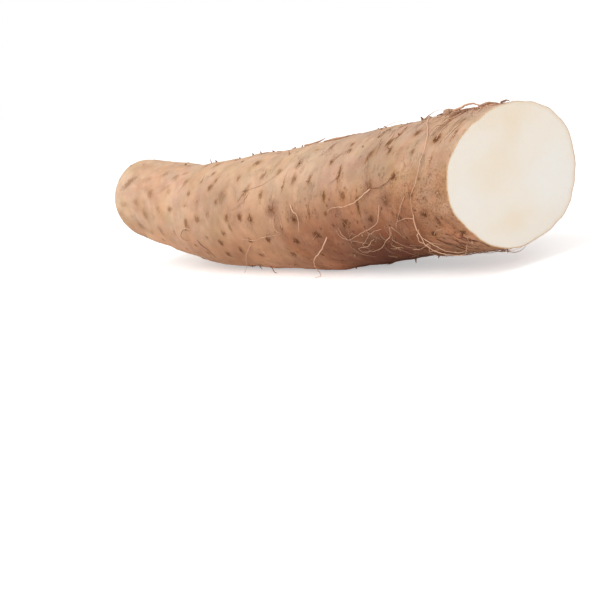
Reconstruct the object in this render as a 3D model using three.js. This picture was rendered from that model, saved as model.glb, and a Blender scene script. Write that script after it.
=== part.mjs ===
// End piece of a long yam, lying on its side: a blunt grown nose at -X and one cut face at +X.
// Millimetres, +Z up. The piece is one grown solid, so the group holds one mesh.

import * as THREE from 'three';
import { mergeVertices } from 'three/addons/utils/BufferGeometryUtils.js';

// ---- driving dimensions -------------------------------------------------------------------------

// Length of the growth axis, from the tip of the nose to the middle of the cut face.
const AXIS_LENGTH = 300;

// Cross-sections along the axis: distance from the nose, radius, height of the centre before the
// belly is bedded, and sideways drift of the centre.
const SECTIONS = [
  { along: 0, radius: 21.8, height: 41.0, drift: 2.0 },
  { along: 22, radius: 22.6, height: 39.6, drift: 1.2 },
  { along: 45, radius: 23.4, height: 36.3, drift: 0.4 },
  { along: 75, radius: 26.0, height: 30.7, drift: -0.4 },
  { along: 100, radius: 28.0, height: 29.1, drift: -0.7 },
  { along: 125, radius: 29.1, height: 29.4, drift: -0.9 },
  { along: 150, radius: 29.8, height: 29.6, drift: -0.9 },
  { along: 180, radius: 30.8, height: 30.0, drift: -0.6 },
  { along: 210, radius: 30.8, height: 32.4, drift: -0.3 },
  { along: 240, radius: 30.1, height: 35.2, drift: 0.0 },
  { along: 270, radius: 29.7, height: 37.4, drift: 0.0 },
  { along: 300, radius: 29.6, height: 39.3, drift: 0.0 },
];

// How far the whole yam is bedded into the surface that it lies on. What would reach below that
// surface is pressed flat, and makes the strip of belly that it rests on.
const BEDDING = 0.6;

// The nose is a superellipse cap: its length, how blunt it is (2 is an ellipse), how far its
// underside juts forward, and the stretch that the jut fades out over.
const NOSE_LENGTH = 20;
const NOSE_BLUNTNESS = 2.5;
const NOSE_JUT = THREE.MathUtils.degToRad(4);
const NOSE_JUT_FADE = 50;

// The knife's plane: how far it is turned about the vertical, and leaned back from it.
const CUT_TURN = THREE.MathUtils.degToRad(16.5);
const CUT_LEAN = THREE.MathUtils.degToRad(4);
// From here to the cut, the cross-sections swing into the knife's plane, and by SQUARE_END they no
// longer follow the bend of the axis.
const SWING_START = 150;
const SQUARE_END = 240;

// Low swells of the skin: height in mm, waves round the section, degrees that the crest starts at,
// and turns of twist over the whole length.
const LOBES = [
  { height: 0.35, waves: 2, start: 20, twist: 0.35 },
  { height: 0.3, waves: 3, start: 100, twist: -0.5 },
  { height: 0.15, waves: 5, start: 250, twist: 0.8 },
];
// Growth rings: height in mm, spacing along the axis, and how far each ring wanders round the section.
const RINGS = [
  { height: 0.3, spacing: 43, wander: 1.1 },
  { height: 0.18, spacing: 26, wander: 2.0 },
];
// Broad bulges: where they are along the axis and round the section, their reach and their height.
const BULGES = [
  { along: 300, angle: -40, reach: 60, spread: 28, height: 1.2 },
  { along: 300, angle: 40, reach: 60, spread: 28, height: 0.6 },
];

// Mesh fineness.
const SIDES = 48;
const NOSE_RINGS = 9;
const BODY_RINGS = 42;
const CUT_RINGS = 3;

// ---- geometry -----------------------------------------------------------------------------------

/** Smooth curves through the cross-sections: radius, height and drift at any distance along. */
function sectionCurves() {
  const positions = SECTIONS.map((section) => section.along);
  const values = SECTIONS.flatMap(({ radius, height, drift }) => [radius, height, drift]);
  const curves = new THREE.CubicInterpolant(positions, values, 3);
  return (along) => {
    const [radius, height, drift] = curves.evaluate(along);
    return { radius, height, drift };
  };
}

/** Share of the full radius that the nose's cap has reached at a distance along the axis. */
function noseShare(along) {
  const left = 1 - Math.min(along / NOSE_LENGTH, 1);
  return (1 - left ** NOSE_BLUNTNESS) ** (1 / NOSE_BLUNTNESS);
}

/** A body of revolution of radius 1, to be moulded: its y is the distance along the axis. */
function blank() {
  const profile = [];
  for (let ring = 0; ring < NOSE_RINGS; ring += 1) {
    const along = NOSE_LENGTH * (1 - Math.cos((ring / NOSE_RINGS) * (Math.PI / 2)));
    profile.push(new THREE.Vector2(noseShare(along), along));
  }
  for (let ring = 0; ring <= BODY_RINGS; ring += 1) {
    const along = THREE.MathUtils.lerp(NOSE_LENGTH, AXIS_LENGTH, ring / BODY_RINGS);
    profile.push(new THREE.Vector2(1, along));
  }
  for (let ring = CUT_RINGS - 1; ring >= 0; ring -= 1) {
    profile.push(new THREE.Vector2(ring / CUT_RINGS, AXIS_LENGTH));
  }
  const lathe = new THREE.LatheGeometry(profile, SIDES);
  lathe.deleteAttribute('normal');
  lathe.deleteAttribute('uv');
  return mergeVertices(lathe, 1e-4);
}

/** Height of the skin's swells above the plain section. */
function relief(along, angle) {
  let height = 0;
  for (const lobe of LOBES) {
    const twist = 2 * Math.PI * lobe.twist * (along / AXIS_LENGTH);
    height += lobe.height * Math.cos(lobe.waves * angle + THREE.MathUtils.degToRad(lobe.start) + twist);
  }
  for (const ring of RINGS) {
    height += ring.height * Math.sin((2 * Math.PI * along) / ring.spacing + ring.wander * Math.cos(angle));
  }
  for (const bulge of BULGES) {
    const turn = THREE.MathUtils.euclideanModulo(THREE.MathUtils.radToDeg(angle) - bulge.angle + 180, 360);
    const across = (turn - 180) / bulge.spread;
    const lengthwise = (along - bulge.along) / bulge.reach;
    height += bulge.height * Math.exp(-across * across - lengthwise * lengthwise);
  }
  return height;
}

/** The solid: the blank moulded to the sections, bent along the axis, cut, and flat where it rests. */
function tuberGeometry() {
  const sectionAt = sectionCurves();
  const geometry = blank();
  const position = geometry.getAttribute('position');
  const vertex = new THREE.Vector3();
  for (let index = 0; index < position.count; index += 1) {
    vertex.fromBufferAttribute(position, index);
    const along = vertex.y;
    const share = Math.hypot(vertex.x, vertex.z);
    const angle = Math.atan2(vertex.x, vertex.z);
    const section = sectionAt(along);
    const reach = share * (section.radius + relief(along, angle));

    // Sections stand square to the bent axis near the nose, and swing into the knife's plane.
    const ahead = sectionAt(Math.min(along + 1, AXIS_LENGTH)).height;
    const behind = sectionAt(Math.max(along - 1, 0)).height;
    const square = 1 - THREE.MathUtils.smoothstep(along, SWING_START, SQUARE_END);
    const jut = Math.tan(NOSE_JUT) * (1 - THREE.MathUtils.smoothstep(along, 0, NOSE_JUT_FADE));
    const slope = ((ahead - behind) / 2) * square + jut;
    const swing = THREE.MathUtils.smoothstep(along, SWING_START, AXIS_LENGTH);

    const across = reach * Math.cos(angle);
    const up = (reach * Math.sin(angle)) / Math.hypot(1, slope);
    const centre = section.height - BEDDING;
    const z = Math.max(centre + up, 0);
    const above = z - centre;
    const x = along - slope * above + swing * (Math.tan(CUT_TURN) * across + Math.tan(CUT_LEAN) * above);
    position.setXYZ(index, x, section.drift + across, z);
  }
  return geometry;
}

/** Move a geometry so that its box stands on the origin, centred across it. */
function centreOnFloor(geometry) {
  geometry.computeBoundingBox();
  const box = geometry.boundingBox;
  geometry.translate(-(box.min.x + box.max.x) / 2, -(box.min.y + box.max.y) / 2, -box.min.z);
  return geometry;
}

// ---- the part -----------------------------------------------------------------------------------

const geometry = centreOnFloor(tuberGeometry());
geometry.computeVertexNormals();

const tuber = new THREE.Mesh(
  geometry,
  new THREE.MeshStandardMaterial({ color: 0xc79f7d, roughness: 0.8, metalness: 0 }),
);
tuber.name = 'tuber';

const yam = new THREE.Group();
yam.name = 'yam';
yam.add(tuber);

export default yam;
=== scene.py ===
"""The cut end of a long yam, dressed for the studio.

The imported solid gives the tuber's form. This script grows a fine skin over it, with wrinkles, root scars,
short bristles and long hair roots, finishes the cut face, and sets up a plain studio.

Lengths are in millimetres and angles in degrees, unless it says otherwise. A place is given by how far along
it is from the nose, and by its turn round the section, 0 at +Y and 90 on top.
"""

import logging
import math
from dataclasses import dataclass, field, replace
from enum import Enum
from functools import reduce
from random import Random
from typing import Iterable, Optional, Sequence, Union

import bpy
import numpy as np
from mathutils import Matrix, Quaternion, Vector, noise
from mathutils.bvhtree import BVHTree
from mathutils.kdtree import KDTree


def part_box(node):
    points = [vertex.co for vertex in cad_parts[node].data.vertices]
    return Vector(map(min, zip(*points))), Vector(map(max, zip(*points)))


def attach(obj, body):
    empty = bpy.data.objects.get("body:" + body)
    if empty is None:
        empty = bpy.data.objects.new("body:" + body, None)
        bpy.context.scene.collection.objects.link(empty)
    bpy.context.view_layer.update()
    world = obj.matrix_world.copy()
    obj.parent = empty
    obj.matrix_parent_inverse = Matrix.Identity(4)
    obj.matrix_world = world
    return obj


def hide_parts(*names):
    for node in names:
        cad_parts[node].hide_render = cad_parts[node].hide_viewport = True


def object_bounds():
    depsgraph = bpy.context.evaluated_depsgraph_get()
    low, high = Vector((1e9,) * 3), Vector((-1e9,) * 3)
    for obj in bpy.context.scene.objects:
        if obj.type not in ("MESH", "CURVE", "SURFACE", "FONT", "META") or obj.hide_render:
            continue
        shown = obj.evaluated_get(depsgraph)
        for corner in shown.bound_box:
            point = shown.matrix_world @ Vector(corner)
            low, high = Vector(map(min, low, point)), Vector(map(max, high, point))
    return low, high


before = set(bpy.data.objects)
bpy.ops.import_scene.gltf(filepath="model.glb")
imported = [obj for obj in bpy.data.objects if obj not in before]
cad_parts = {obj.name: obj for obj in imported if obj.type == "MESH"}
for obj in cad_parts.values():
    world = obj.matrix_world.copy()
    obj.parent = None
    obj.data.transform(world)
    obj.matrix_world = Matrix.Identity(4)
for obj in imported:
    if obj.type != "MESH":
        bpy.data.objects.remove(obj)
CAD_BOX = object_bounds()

LOG = logging.getLogger("yam")
MM = 0.001
BODY = "root"
STRAY_SEED = 4  # how the roots stray and bend; the noise module follows the clock unless its seed is set
LENGTH = 300.0  # of the straight tuber that all markings are laid out on
RADIUS = 30.0  # of the same straight tuber
OFF_FLOOR = 0.05  # least gap between a root and the floor

Node = bpy.types.Node
Socket = bpy.types.NodeSocket
Piece = bpy.types.Object
Material = bpy.types.Material
Feed = Union[Socket, float, Sequence[float]]
Inputs = dict[Union[int, str], Feed]
Paint = tuple[float, float, float, float]
Array = np.ndarray
Pair = tuple[float, float]
Triple = tuple[float, float, float]
Traced = tuple[list[Vector], list[float], float]


class Slot(Enum):
    """The record's material slots."""

    SKIN = "skin"
    FLESH = "flesh"
    ROOTLET = "rootlet"


class Mark(Enum):
    """Names of the values that the meshes carry for their materials and trees."""

    PLACE = "skin_place"
    SCAR_OFF = "scar_off"
    SCAR_LOOK = "scar_look"
    FROM_CUT = "from_cut"
    GIRTH = "root_girth"
    TONE = "root_tone"


# ---- the straight tuber ----


def straight_place(along: float, turn: float) -> Vector:
    """Give a place on the straight tuber as a point."""
    angle = math.radians(turn)
    return Vector((along, RADIUS * math.cos(angle), RADIUS * math.sin(angle)))


def turn_from(place: Vector, turn: float) -> float:
    """Give how far round a point lies from a turn, from -180 to 180."""
    return (math.degrees(math.atan2(place.z, place.y)) - turn + 180.0) % 360.0 - 180.0


def degrees_round(distance: float) -> float:
    """Turn a distance round the straight tuber into degrees."""
    return math.degrees(distance / RADIUS)


def uneven(place: Vector, height: float, size: float, shift: Sequence[float] = (0.0, 0.0, 0.0)) -> float:
    """Give soft random unevenness of a height and a width, at a place on the straight tuber."""
    return height * noise.noise(place / size + Vector(shift))


def mound(off: float) -> float:
    """Give the height of a soft mound, 1 in its middle and 0 from an offset of 1 on."""
    return max(0.0, 1.0 - off ** 2) ** 2


# ---- node trees ----


class TreeWriter:
    """Adds nodes to one node tree and links them."""

    MIX_FACTOR, MIX_A, MIX_B, MIX_RESULT = 0, 6, 7, 2

    def __init__(self, tree: bpy.types.NodeTree) -> None:
        """Start writing in a tree."""
        self.tree = tree

    def add(self, kind: str, inputs: Optional[Inputs] = None, **settings: object) -> Node:
        """Add one node.

        Args:
            kind: The node's Blender type.
            inputs: What each input gets, by the input's name or number.
            settings: Values for the node's own properties.

        Returns:
            The new node.
        """
        node = self.tree.nodes.new(kind)
        for name, value in settings.items():
            setattr(node, name, value)
        for key, value in (inputs or {}).items():
            self.feed(node.inputs[key], value)
        return node

    def feed(self, socket: Socket, value: Feed) -> None:
        """Give an input its value.

        Args:
            socket: The input.
            value: Another node's output to link, or a plain value.
        """
        if isinstance(value, bpy.types.NodeSocket):
            self.tree.links.new(value, socket)
        else:
            socket.default_value = value

    def math(self, operation: str, first: Feed, second: Feed = 0.0, clamp: bool = False) -> Socket:
        """Add a Math node, which may keep its result between 0 and 1."""
        node = self.add("ShaderNodeMath", {0: first, 1: second}, operation=operation, use_clamp=clamp)
        return node.outputs[0]

    def product(self, *shares: Feed) -> Feed:
        """Multiply several numbers."""
        return reduce(lambda result, share: self.math("MULTIPLY", result, share), shares)

    def vector(self, operation: str, first: Feed, second: Feed = (0.0, 0.0, 0.0)) -> Socket:
        """Add a Vector Math node, such as "MULTIPLY", and give its result."""
        node = self.add("ShaderNodeVectorMath", {0: first, 1: second}, operation=operation)
        return node.outputs["Value" if operation == "LENGTH" else "Vector"]

    def scaled(self, vector: Feed, factor: Feed) -> Socket:
        """Multiply a vector by a number."""
        return self.add("ShaderNodeVectorMath", {0: vector, "Scale": factor}, operation="SCALE").outputs[0]

    def parts(self, vector: Feed) -> Sequence[Socket]:
        """Give a vector's X, Y and Z."""
        return self.add("ShaderNodeSeparateXYZ", {0: vector}).outputs

    def band(self, value: Feed, start: float, end: float, low: float = 0.0, high: float = 1.0) -> Socket:
        """Add a smooth step, which is low where the value is at the start and high where it is at the end."""
        limits = {"Value": value, "From Min": start, "From Max": end, "To Min": low, "To Max": high}
        return self.add("ShaderNodeMapRange", limits, interpolation_type="SMOOTHSTEP").outputs["Result"]

    def mix(self, share: Feed, first: Feed, second: Feed, blend: str = "MIX") -> Socket:
        """Mix a share of the second colour into the first."""
        inputs = {self.MIX_FACTOR: share, self.MIX_A: first, self.MIX_B: second}
        return self.add("ShaderNodeMix", inputs, data_type="RGBA", blend_type=blend).outputs[self.MIX_RESULT]

    def noise(self, where: Feed, scale: float, detail: float = 2.0, roughness: float = 0.5) -> Socket:
        """Add noise of about 0 to 1, given its features to a unit, its finer layers and their strength."""
        inputs = {"Vector": where, "Scale": scale, "Detail": detail, "Roughness": roughness}
        return self.add("ShaderNodeTexNoise", inputs, normalize=True).outputs[0]

    def ellipse(self, where: Feed, middle: Feed, half: Feed, tilt: float = 0.0) -> Socket:
        """Give how far out a point is in an ellipse, 1 on its edge, from its half size and its tilt."""
        inputs = {"Vector": where, "Location": middle, "Rotation": (math.radians(tilt), 0, 0), "Scale": half}
        return self.vector("LENGTH", self.add("ShaderNodeMapping", inputs, vector_type="TEXTURE").outputs[0])

    def mark(self, name: Mark, output: str = "Fac") -> Socket:
        """Read a value that the mesh carries, as a number or, from the output Vector, as a vector."""
        return self.add("ShaderNodeAttribute", attribute_name=name.value).outputs[output]


class NodeRecipe:
    """A node tree of its own, with named inputs and one output."""

    def __init__(self, kind: str, name: str, inputs: dict[str, str], output: tuple[str, str]) -> None:
        """Start the tree.

        Args:
            kind: The tree's Blender type.
            name: The tree's name.
            inputs: Socket types by name.
            output: The output's name and socket type.
        """
        self.tree = bpy.data.node_groups.new(name, kind)
        for label, socket_type in inputs.items():
            self.tree.interface.new_socket(label, in_out="INPUT", socket_type=socket_type)
        self.tree.interface.new_socket(output[0], in_out="OUTPUT", socket_type=output[1])
        self.writer = TreeWriter(self.tree)
        self.given = self.writer.add("NodeGroupInput").outputs
        self.result = self.writer.add("NodeGroupOutput").inputs[output[0]]


class ShaderGroup(NodeRecipe):
    """A shader node group that several materials share."""

    def __init__(self, name: str, inputs: Sequence[str], output: str) -> None:
        """Start the group, which makes one number out of the point Where and of its inputs, all numbers."""
        sockets = {"Where": "NodeSocketVector", **{label: "NodeSocketFloat" for label in inputs}}
        super().__init__("ShaderNodeTree", name, sockets, (output, "NodeSocketFloat"))

    def use(self, writer: TreeWriter, **values: Feed) -> Socket:
        """Place the group in a material and give its output; the values go to its inputs by name."""
        return writer.add("ShaderNodeGroup", values, node_tree=self.tree).outputs[0]


def soft_patches_group() -> ShaderGroup:
    """Make the group for broad uneven patches of colour.

    Returns:
        A group with the output Patch, 0 to 1.
    """
    group = ShaderGroup("soft_patches", ("Size", "Cover"), "Patch")
    write = group.writer
    where = write.scaled(group.given["Where"], write.math("DIVIDE", 1.0, group.given["Size"]))
    cloud = write.noise(where, 1.0, 3.0, 0.55)
    threshold = write.math("SUBTRACT", 0.72, write.product(group.given["Cover"], 0.44))
    write.feed(group.result, write.band(write.math("SUBTRACT", cloud, threshold), -0.12, 0.16))
    return group


def fine_specks_group() -> ShaderGroup:
    """Make the group for small scattered specks.

    Returns:
        A group with the output Speck, 1 on a speck and 0 between them.
    """
    group = ShaderGroup("fine_specks", ("Spacing", "Reach"), "Speck")
    write = group.writer
    where = write.scaled(group.given["Where"], write.math("DIVIDE", 1.0, group.given["Spacing"]))
    cells = write.add("ShaderNodeTexVoronoi", {"Vector": where, "Scale": 1.0}, feature="F1")
    uneven = write.product(write.noise(where, 0.7), group.given["Reach"])
    inside = write.math("SUBTRACT", uneven, cells.outputs["Distance"])
    write.feed(group.result, write.band(inside, -0.06, 0.08))
    return group


# ---- the tuber's form ----


@dataclass(frozen=True)
class SkinGrid:
    """The skin as rings of points from the nose to the cut.

    Attributes:
        points: Ring by side by xyz, in metres.
        outward: Unit normals, the same way round.
        place: Where each point would be on the straight tuber.
        along: Each ring's distance from the nose.
        cut_centre: The middle of the cut face.
        cut_normal: The way that the cut face looks.
    """

    points: Array
    outward: Array
    place: Array
    along: Array
    cut_centre: Vector
    cut_normal: Vector

    def _read(self, grid_values: Array, along: float, turn: float) -> Vector:
        """Read a grid of vectors between its points.

        Args:
            grid_values: Ring by side by xyz.
            along: Distance from the nose.
            turn: Turn round the section.

        Returns:
            The vector there.
        """
        rings, sides = grid_values.shape[:2]
        ring = float(np.clip(np.interp(along, self.along, np.arange(rings)), 0, rings - 1.001))
        side = (turn % 360.0) / 360.0 * sides
        low, left = int(ring), int(side) % sides
        up, across = ring - low, side - int(side)
        right = (left + 1) % sides
        near = grid_values[low, left] * (1 - across) + grid_values[low, right] * across
        far = grid_values[low + 1, left] * (1 - across) + grid_values[low + 1, right] * across
        return Vector(near * (1 - up) + far * up)

    def normal(self, along: float, turn: float) -> Vector:
        """Give the way that the skin looks at a place."""
        return self._read(self.outward, along, turn).normalized()

    def spot(self, along: float, turn: float, lift: float = 0.0) -> Vector:
        """Give a point on the skin, in metres, or above it by a lift."""
        return self._read(self.points, along, turn) + self.normal(along, turn) * lift * MM


@dataclass(frozen=True)
class Ring:
    """Where a ring's rays start and how they run, with its share of the straight tuber's radius."""

    centre: Vector
    rays: list[Vector]
    along: float
    share: float


@dataclass(frozen=True)
class TuberMould:
    """Reads the tuber's form off its CAD solid, by rays cast out of its axis.

    Attributes:
        node: The CAD node.
        nose_rings: Rings over the round nose.
        body_rings: Rings from there to the cut.
        sides: Points in a ring.
        nose_reach: How far the nose's rings reach along the axis, in metres.
        swing_from: Share of the body after which its rings turn towards the cut's plane.
        inset: How far inside the cut the last ring is cast, in metres.
        centring: How often a ring's centre is moved to the middle between two walls.
        evening: How many rings and sides the facets are evened over.
    """

    node: str = "tuber"
    nose_rings: int = 34
    body_rings: int = 310
    sides: int = 240
    nose_reach: float = 20 * MM
    swing_from: float = 0.5
    inset: float = 0.05 * MM
    centring: int = 3
    evening: float = 2.6

    def _cut(self, mesh: bpy.types.Mesh) -> tuple[Vector, Vector]:
        """Find the cut face.

        Args:
            mesh: The CAD node's mesh.

        Returns:
            The middle of the face, and its normal.
        """
        middle_x = sum(CAD_BOX, Vector()).x / 2
        faces = [face for face in mesh.polygons if face.normal.x > 0.9 and face.center.x > middle_x]
        area = sum(face.area for face in faces)
        centre = sum((face.center * face.area for face in faces), Vector()) / area
        normal = sum((face.normal * face.area for face in faces), Vector()).normalized()
        return centre, normal

    def _turns(self) -> Array:
        """Give each side's turn, in radians."""
        return np.arange(self.sides) * (2 * math.pi / self.sides)

    def _body_ring(self, tree: BVHTree, tip: Vector, cut: tuple[Vector, Vector], share: float) -> Ring:
        """Aim one ring of the body, and centre it between the walls.

        Args:
            tree: The solid's faces.
            tip: The nose end of a rough axis.
            cut: The middle of the cut face, and its normal.
            share: How far along the body the ring is, 0 to 1.

        Returns:
            The ring.
        """
        cut_centre, cut_normal = cut
        start = Vector((tip.x + self.nose_reach, tip.y, tip.z))
        swing = max(0.0, (share - self.swing_from) / (1 - self.swing_from))
        swing = swing * swing * (3 - 2 * swing)
        facing = Vector((1, 0, 0)).lerp(cut_normal, swing).normalized()
        across = (Vector((0, 1, 0)) - facing * facing.y).normalized()
        upward = facing.cross(across)
        centre = start.lerp(cut_centre - cut_normal * self.inset, share)
        for way in (across, upward) * self.centring:
            ahead = tree.ray_cast(centre, way)[3]
            behind = tree.ray_cast(centre, -way)[3]
            centre = centre + way * (ahead - behind) / 2
        rays = [across * math.cos(turn) + upward * math.sin(turn) for turn in self._turns()]
        return Ring(centre, rays, (centre.x - tip.x) / MM, 1.0)

    def _nose_ring(self, first: Ring, share: float) -> Ring:
        """Aim one ring of the nose, which folds the body's first ring forward.

        Args:
            first: The body's first ring.
            share: 0 at the tip, 1 at the body.

        Returns:
            The ring.
        """
        ahead, aside = math.cos(share * math.pi / 2), math.sin(share * math.pi / 2)
        rays = [ray * aside - Vector((ahead, 0, 0)) for ray in first.rays]
        return Ring(first.centre, rays, self.nose_reach / MM * (1 - ahead), aside)

    def _even(self, reach: Array) -> Array:
        """Even out the facets.

        Args:
            reach: Distance from the axis, ring by side.

        Returns:
            The distances, smoothed along and round the tuber.
        """
        span = int(math.ceil(self.evening * 3))
        shifts = range(-span, span + 1)
        taps = np.exp(-0.5 * (np.array(shifts) / self.evening) ** 2)
        taps /= taps.sum()
        round_ring = sum(tap * np.roll(reach, shift, axis=1) for tap, shift in zip(taps, shifts))
        first = np.roll(round_ring[1:span + 1][::-1], round_ring.shape[1] // 2, axis=1)
        last = 2 * round_ring[-1] - round_ring[-span - 1:-1][::-1]
        padded = np.concatenate([first, round_ring, last])
        return sum(tap * padded[shift:shift + len(reach)] for shift, tap in enumerate(taps))

    def read(self) -> SkinGrid:
        """Read the solid.

        Returns:
            The skin's grid.
        """
        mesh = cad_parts[self.node].data
        corners = [vertex.co.copy() for vertex in mesh.vertices]
        tree = BVHTree.FromPolygons(corners, [tuple(face.vertices) for face in mesh.polygons])
        cut = self._cut(mesh)
        low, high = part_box(self.node)
        tip = Vector((low.x, (low.y + high.y) / 2, cut[0].z))
        steps = range(self.body_rings + 1)
        body = [self._body_ring(tree, tip, cut, step / self.body_rings) for step in steps]
        nose = [self._nose_ring(body[0], step / self.nose_rings) for step in range(self.nose_rings)]
        rings = nose + body

        walls = [[tree.ray_cast(ring.centre, ray)[3] for ray in ring.rays] for ring in rings]
        reach = self._even(np.array(walls))
        reach[0] = reach[0].mean()
        centres = np.array([ring.centre for ring in rings])[:, None, :]
        points = centres + reach[:, :, None] * np.array([ring.rays for ring in rings])
        points[-1] += np.array(cut[1]) * self.inset
        along = np.array([ring.along for ring in rings])
        radius = RADIUS * np.array([ring.share for ring in rings])[:, None]
        turns = self._turns()[None, :]
        lengthwise = np.broadcast_to(along[:, None], reach.shape)
        place = np.stack([lengthwise, radius * np.cos(turns), radius * np.sin(turns)], 2)
        return SkinGrid(points, self.normals(points), place, along, *cut)

    @staticmethod
    def normals(points: Array) -> Array:
        """Work out the skin's normals.

        Args:
            points: Ring by side by xyz.

        Returns:
            Unit normals pointing out, the same way round.
        """
        lengthwise = np.gradient(points, axis=0)
        around = np.roll(points, -1, axis=1) - np.roll(points, 1, axis=1)
        outward = np.cross(around, lengthwise)
        size = np.linalg.norm(outward, axis=2, keepdims=True)
        outward = outward / np.maximum(size, 1e-12)
        outward[0] = (-1.0, 0.0, 0.0)
        return outward


# ---- root scars and relief ----


@dataclass(frozen=True)
class Scar:
    """A place where a hair root grew out of the skin.

    Attributes:
        along: Distance from the nose.
        turn: Degrees round the section.
        length: Half its length round the tuber.
        width: Half its width along the tuber.
        slant: How far it leans off the ring.
        darkness: 0 for a faint one, 1 for a dark one.
        height: How far it stands out.
        halo: How strong the greyish stain round it is.
    """

    along: float
    turn: float
    length: float = 1.8
    width: float = 1.0
    slant: float = 0.0
    darkness: float = 0.8
    height: float = 0.3
    halo: float = 0.0

    def spot(self) -> Vector:
        """Give its place on the straight tuber."""
        return straight_place(self.along, self.turn)

    def off(self, place: Vector) -> float:
        """Measure how far a point is from the scar.

        Args:
            place: The point's place on the straight tuber.

        Returns:
            The distance in scar sizes, 1 at its edge.
        """
        around = RADIUS * math.radians(turn_from(place, self.turn))
        lengthwise = place.x - self.along
        slant = math.radians(self.slant)
        across = (lengthwise * math.cos(slant) - around * math.sin(slant)) / self.width
        down = (lengthwise * math.sin(slant) + around * math.cos(slant)) / self.length
        return math.hypot(across, down)

    def raised(self, off: float) -> float:
        """Give the height of its rim and of the pit in its middle, at an offset in scar sizes."""
        return self.height * (mound(off / 1.6) - 0.7 * math.exp(-(off / 0.45) ** 2))


@dataclass(frozen=True)
class ScarField:
    """Scatters root scars over the skin, and says how each point of the skin lies to the nearest one.

    Attributes:
        chosen: Scars with places of their own.
        count: How many more are tried at random.
        margin: How near the nose's tip or the cut they come.
        apart: The least distance between two scars.
        streaks: Share of them that are drawn out into streaks.
        stained: Share of them that have a stain round them.
        grown_from: Distance from the nose where they are at their full size.
        seed: Seed of the random places.
    """

    chosen: tuple[Scar, ...] = ()
    count: int = 900
    margin: float = 3.0
    apart: float = 9.0
    streaks: float = 0.14
    stained: float = 0.22
    grown_from: float = 150.0
    seed: int = 11

    def _random(self, draw: Random) -> Scar:
        """Draw one scar.

        Args:
            draw: The random numbers.

        Returns:
            The scar, small and faint on the young skin of the nose.
        """
        along = draw.uniform(self.margin, LENGTH - self.margin)
        growth = min(1.0, along / self.grown_from)
        size = draw.uniform(0.55, 1.0) * (0.75 + 0.4 * growth)
        streak = draw.random() < self.streaks
        return Scar(
            along=along,
            turn=draw.uniform(0.0, 360.0),
            length=size * (draw.uniform(2.0, 3.2) if streak else draw.uniform(1.1, 1.6)),
            width=size * (draw.uniform(0.8, 1.1) if streak else draw.uniform(1.2, 1.9)),
            slant=draw.gauss(0.0, 16.0),
            darkness=draw.uniform(0.3, 0.8) * (0.55 + 0.6 * growth),
            halo=draw.random() if draw.random() < self.stained else 0.0,
            height=draw.uniform(0.18, 0.50) * (0.6 + 0.5 * growth),
        )

    def scatter(self) -> list[Scar]:
        """Lay out all the scars.

        Returns:
            The chosen ones, then the random ones that found room.
        """
        draw = Random(self.seed)
        kept = list(self.chosen)
        spots = [scar.spot() for scar in kept]
        for _ in range(self.count):
            scar = self._random(draw)
            if all((scar.spot() - spot).length > self.apart for spot in spots):
                kept.append(scar)
                spots.append(scar.spot())
        return kept

    def lie_of(self, grid: SkinGrid, scars: Sequence[Scar]) -> tuple[Array, Array, Array]:
        """Measure every point of the skin from its nearest scar.

        Args:
            grid: The skin.
            scars: The scars.

        Returns:
            How far off each point is in scar sizes, the scar's darkness and halo, and what height it adds.
        """
        tree = KDTree(len(scars))
        for index, scar in enumerate(scars):
            tree.insert(scar.spot(), index)
        tree.balance()
        shape = grid.place.shape[:2]
        offs, looks, heights = np.zeros(shape), np.zeros((*shape, 3)), np.zeros(shape)
        for here in np.ndindex(shape):
            place = Vector(grid.place[here])
            off, index = min((scars[near].off(place), near) for _, near, _ in tree.find_n(place, 3))
            scar = scars[index]
            offs[here] = off
            looks[here] = (scar.darkness, scar.halo, 0.0)
            heights[here] = scar.raised(off)
        return offs, looks, heights


@dataclass(frozen=True)
class Swelling:
    """A broad place where the skin stands fuller than the solid.

    Attributes:
        along: Distance of its middle from the nose.
        turn: Its middle's turn.
        half_length: Half its length along the tuber.
        half_width: Half its width round the tuber, as an angle.
        height: How far it stands out.
    """

    along: float
    turn: float
    half_length: float
    half_width: float
    height: float

    def at(self, place: Vector) -> float:
        """Give its height at a place on the straight tuber."""
        lengthwise = mound((place.x - self.along) / self.half_length)
        return self.height * lengthwise * mound(turn_from(place, self.turn) / self.half_width)


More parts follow.
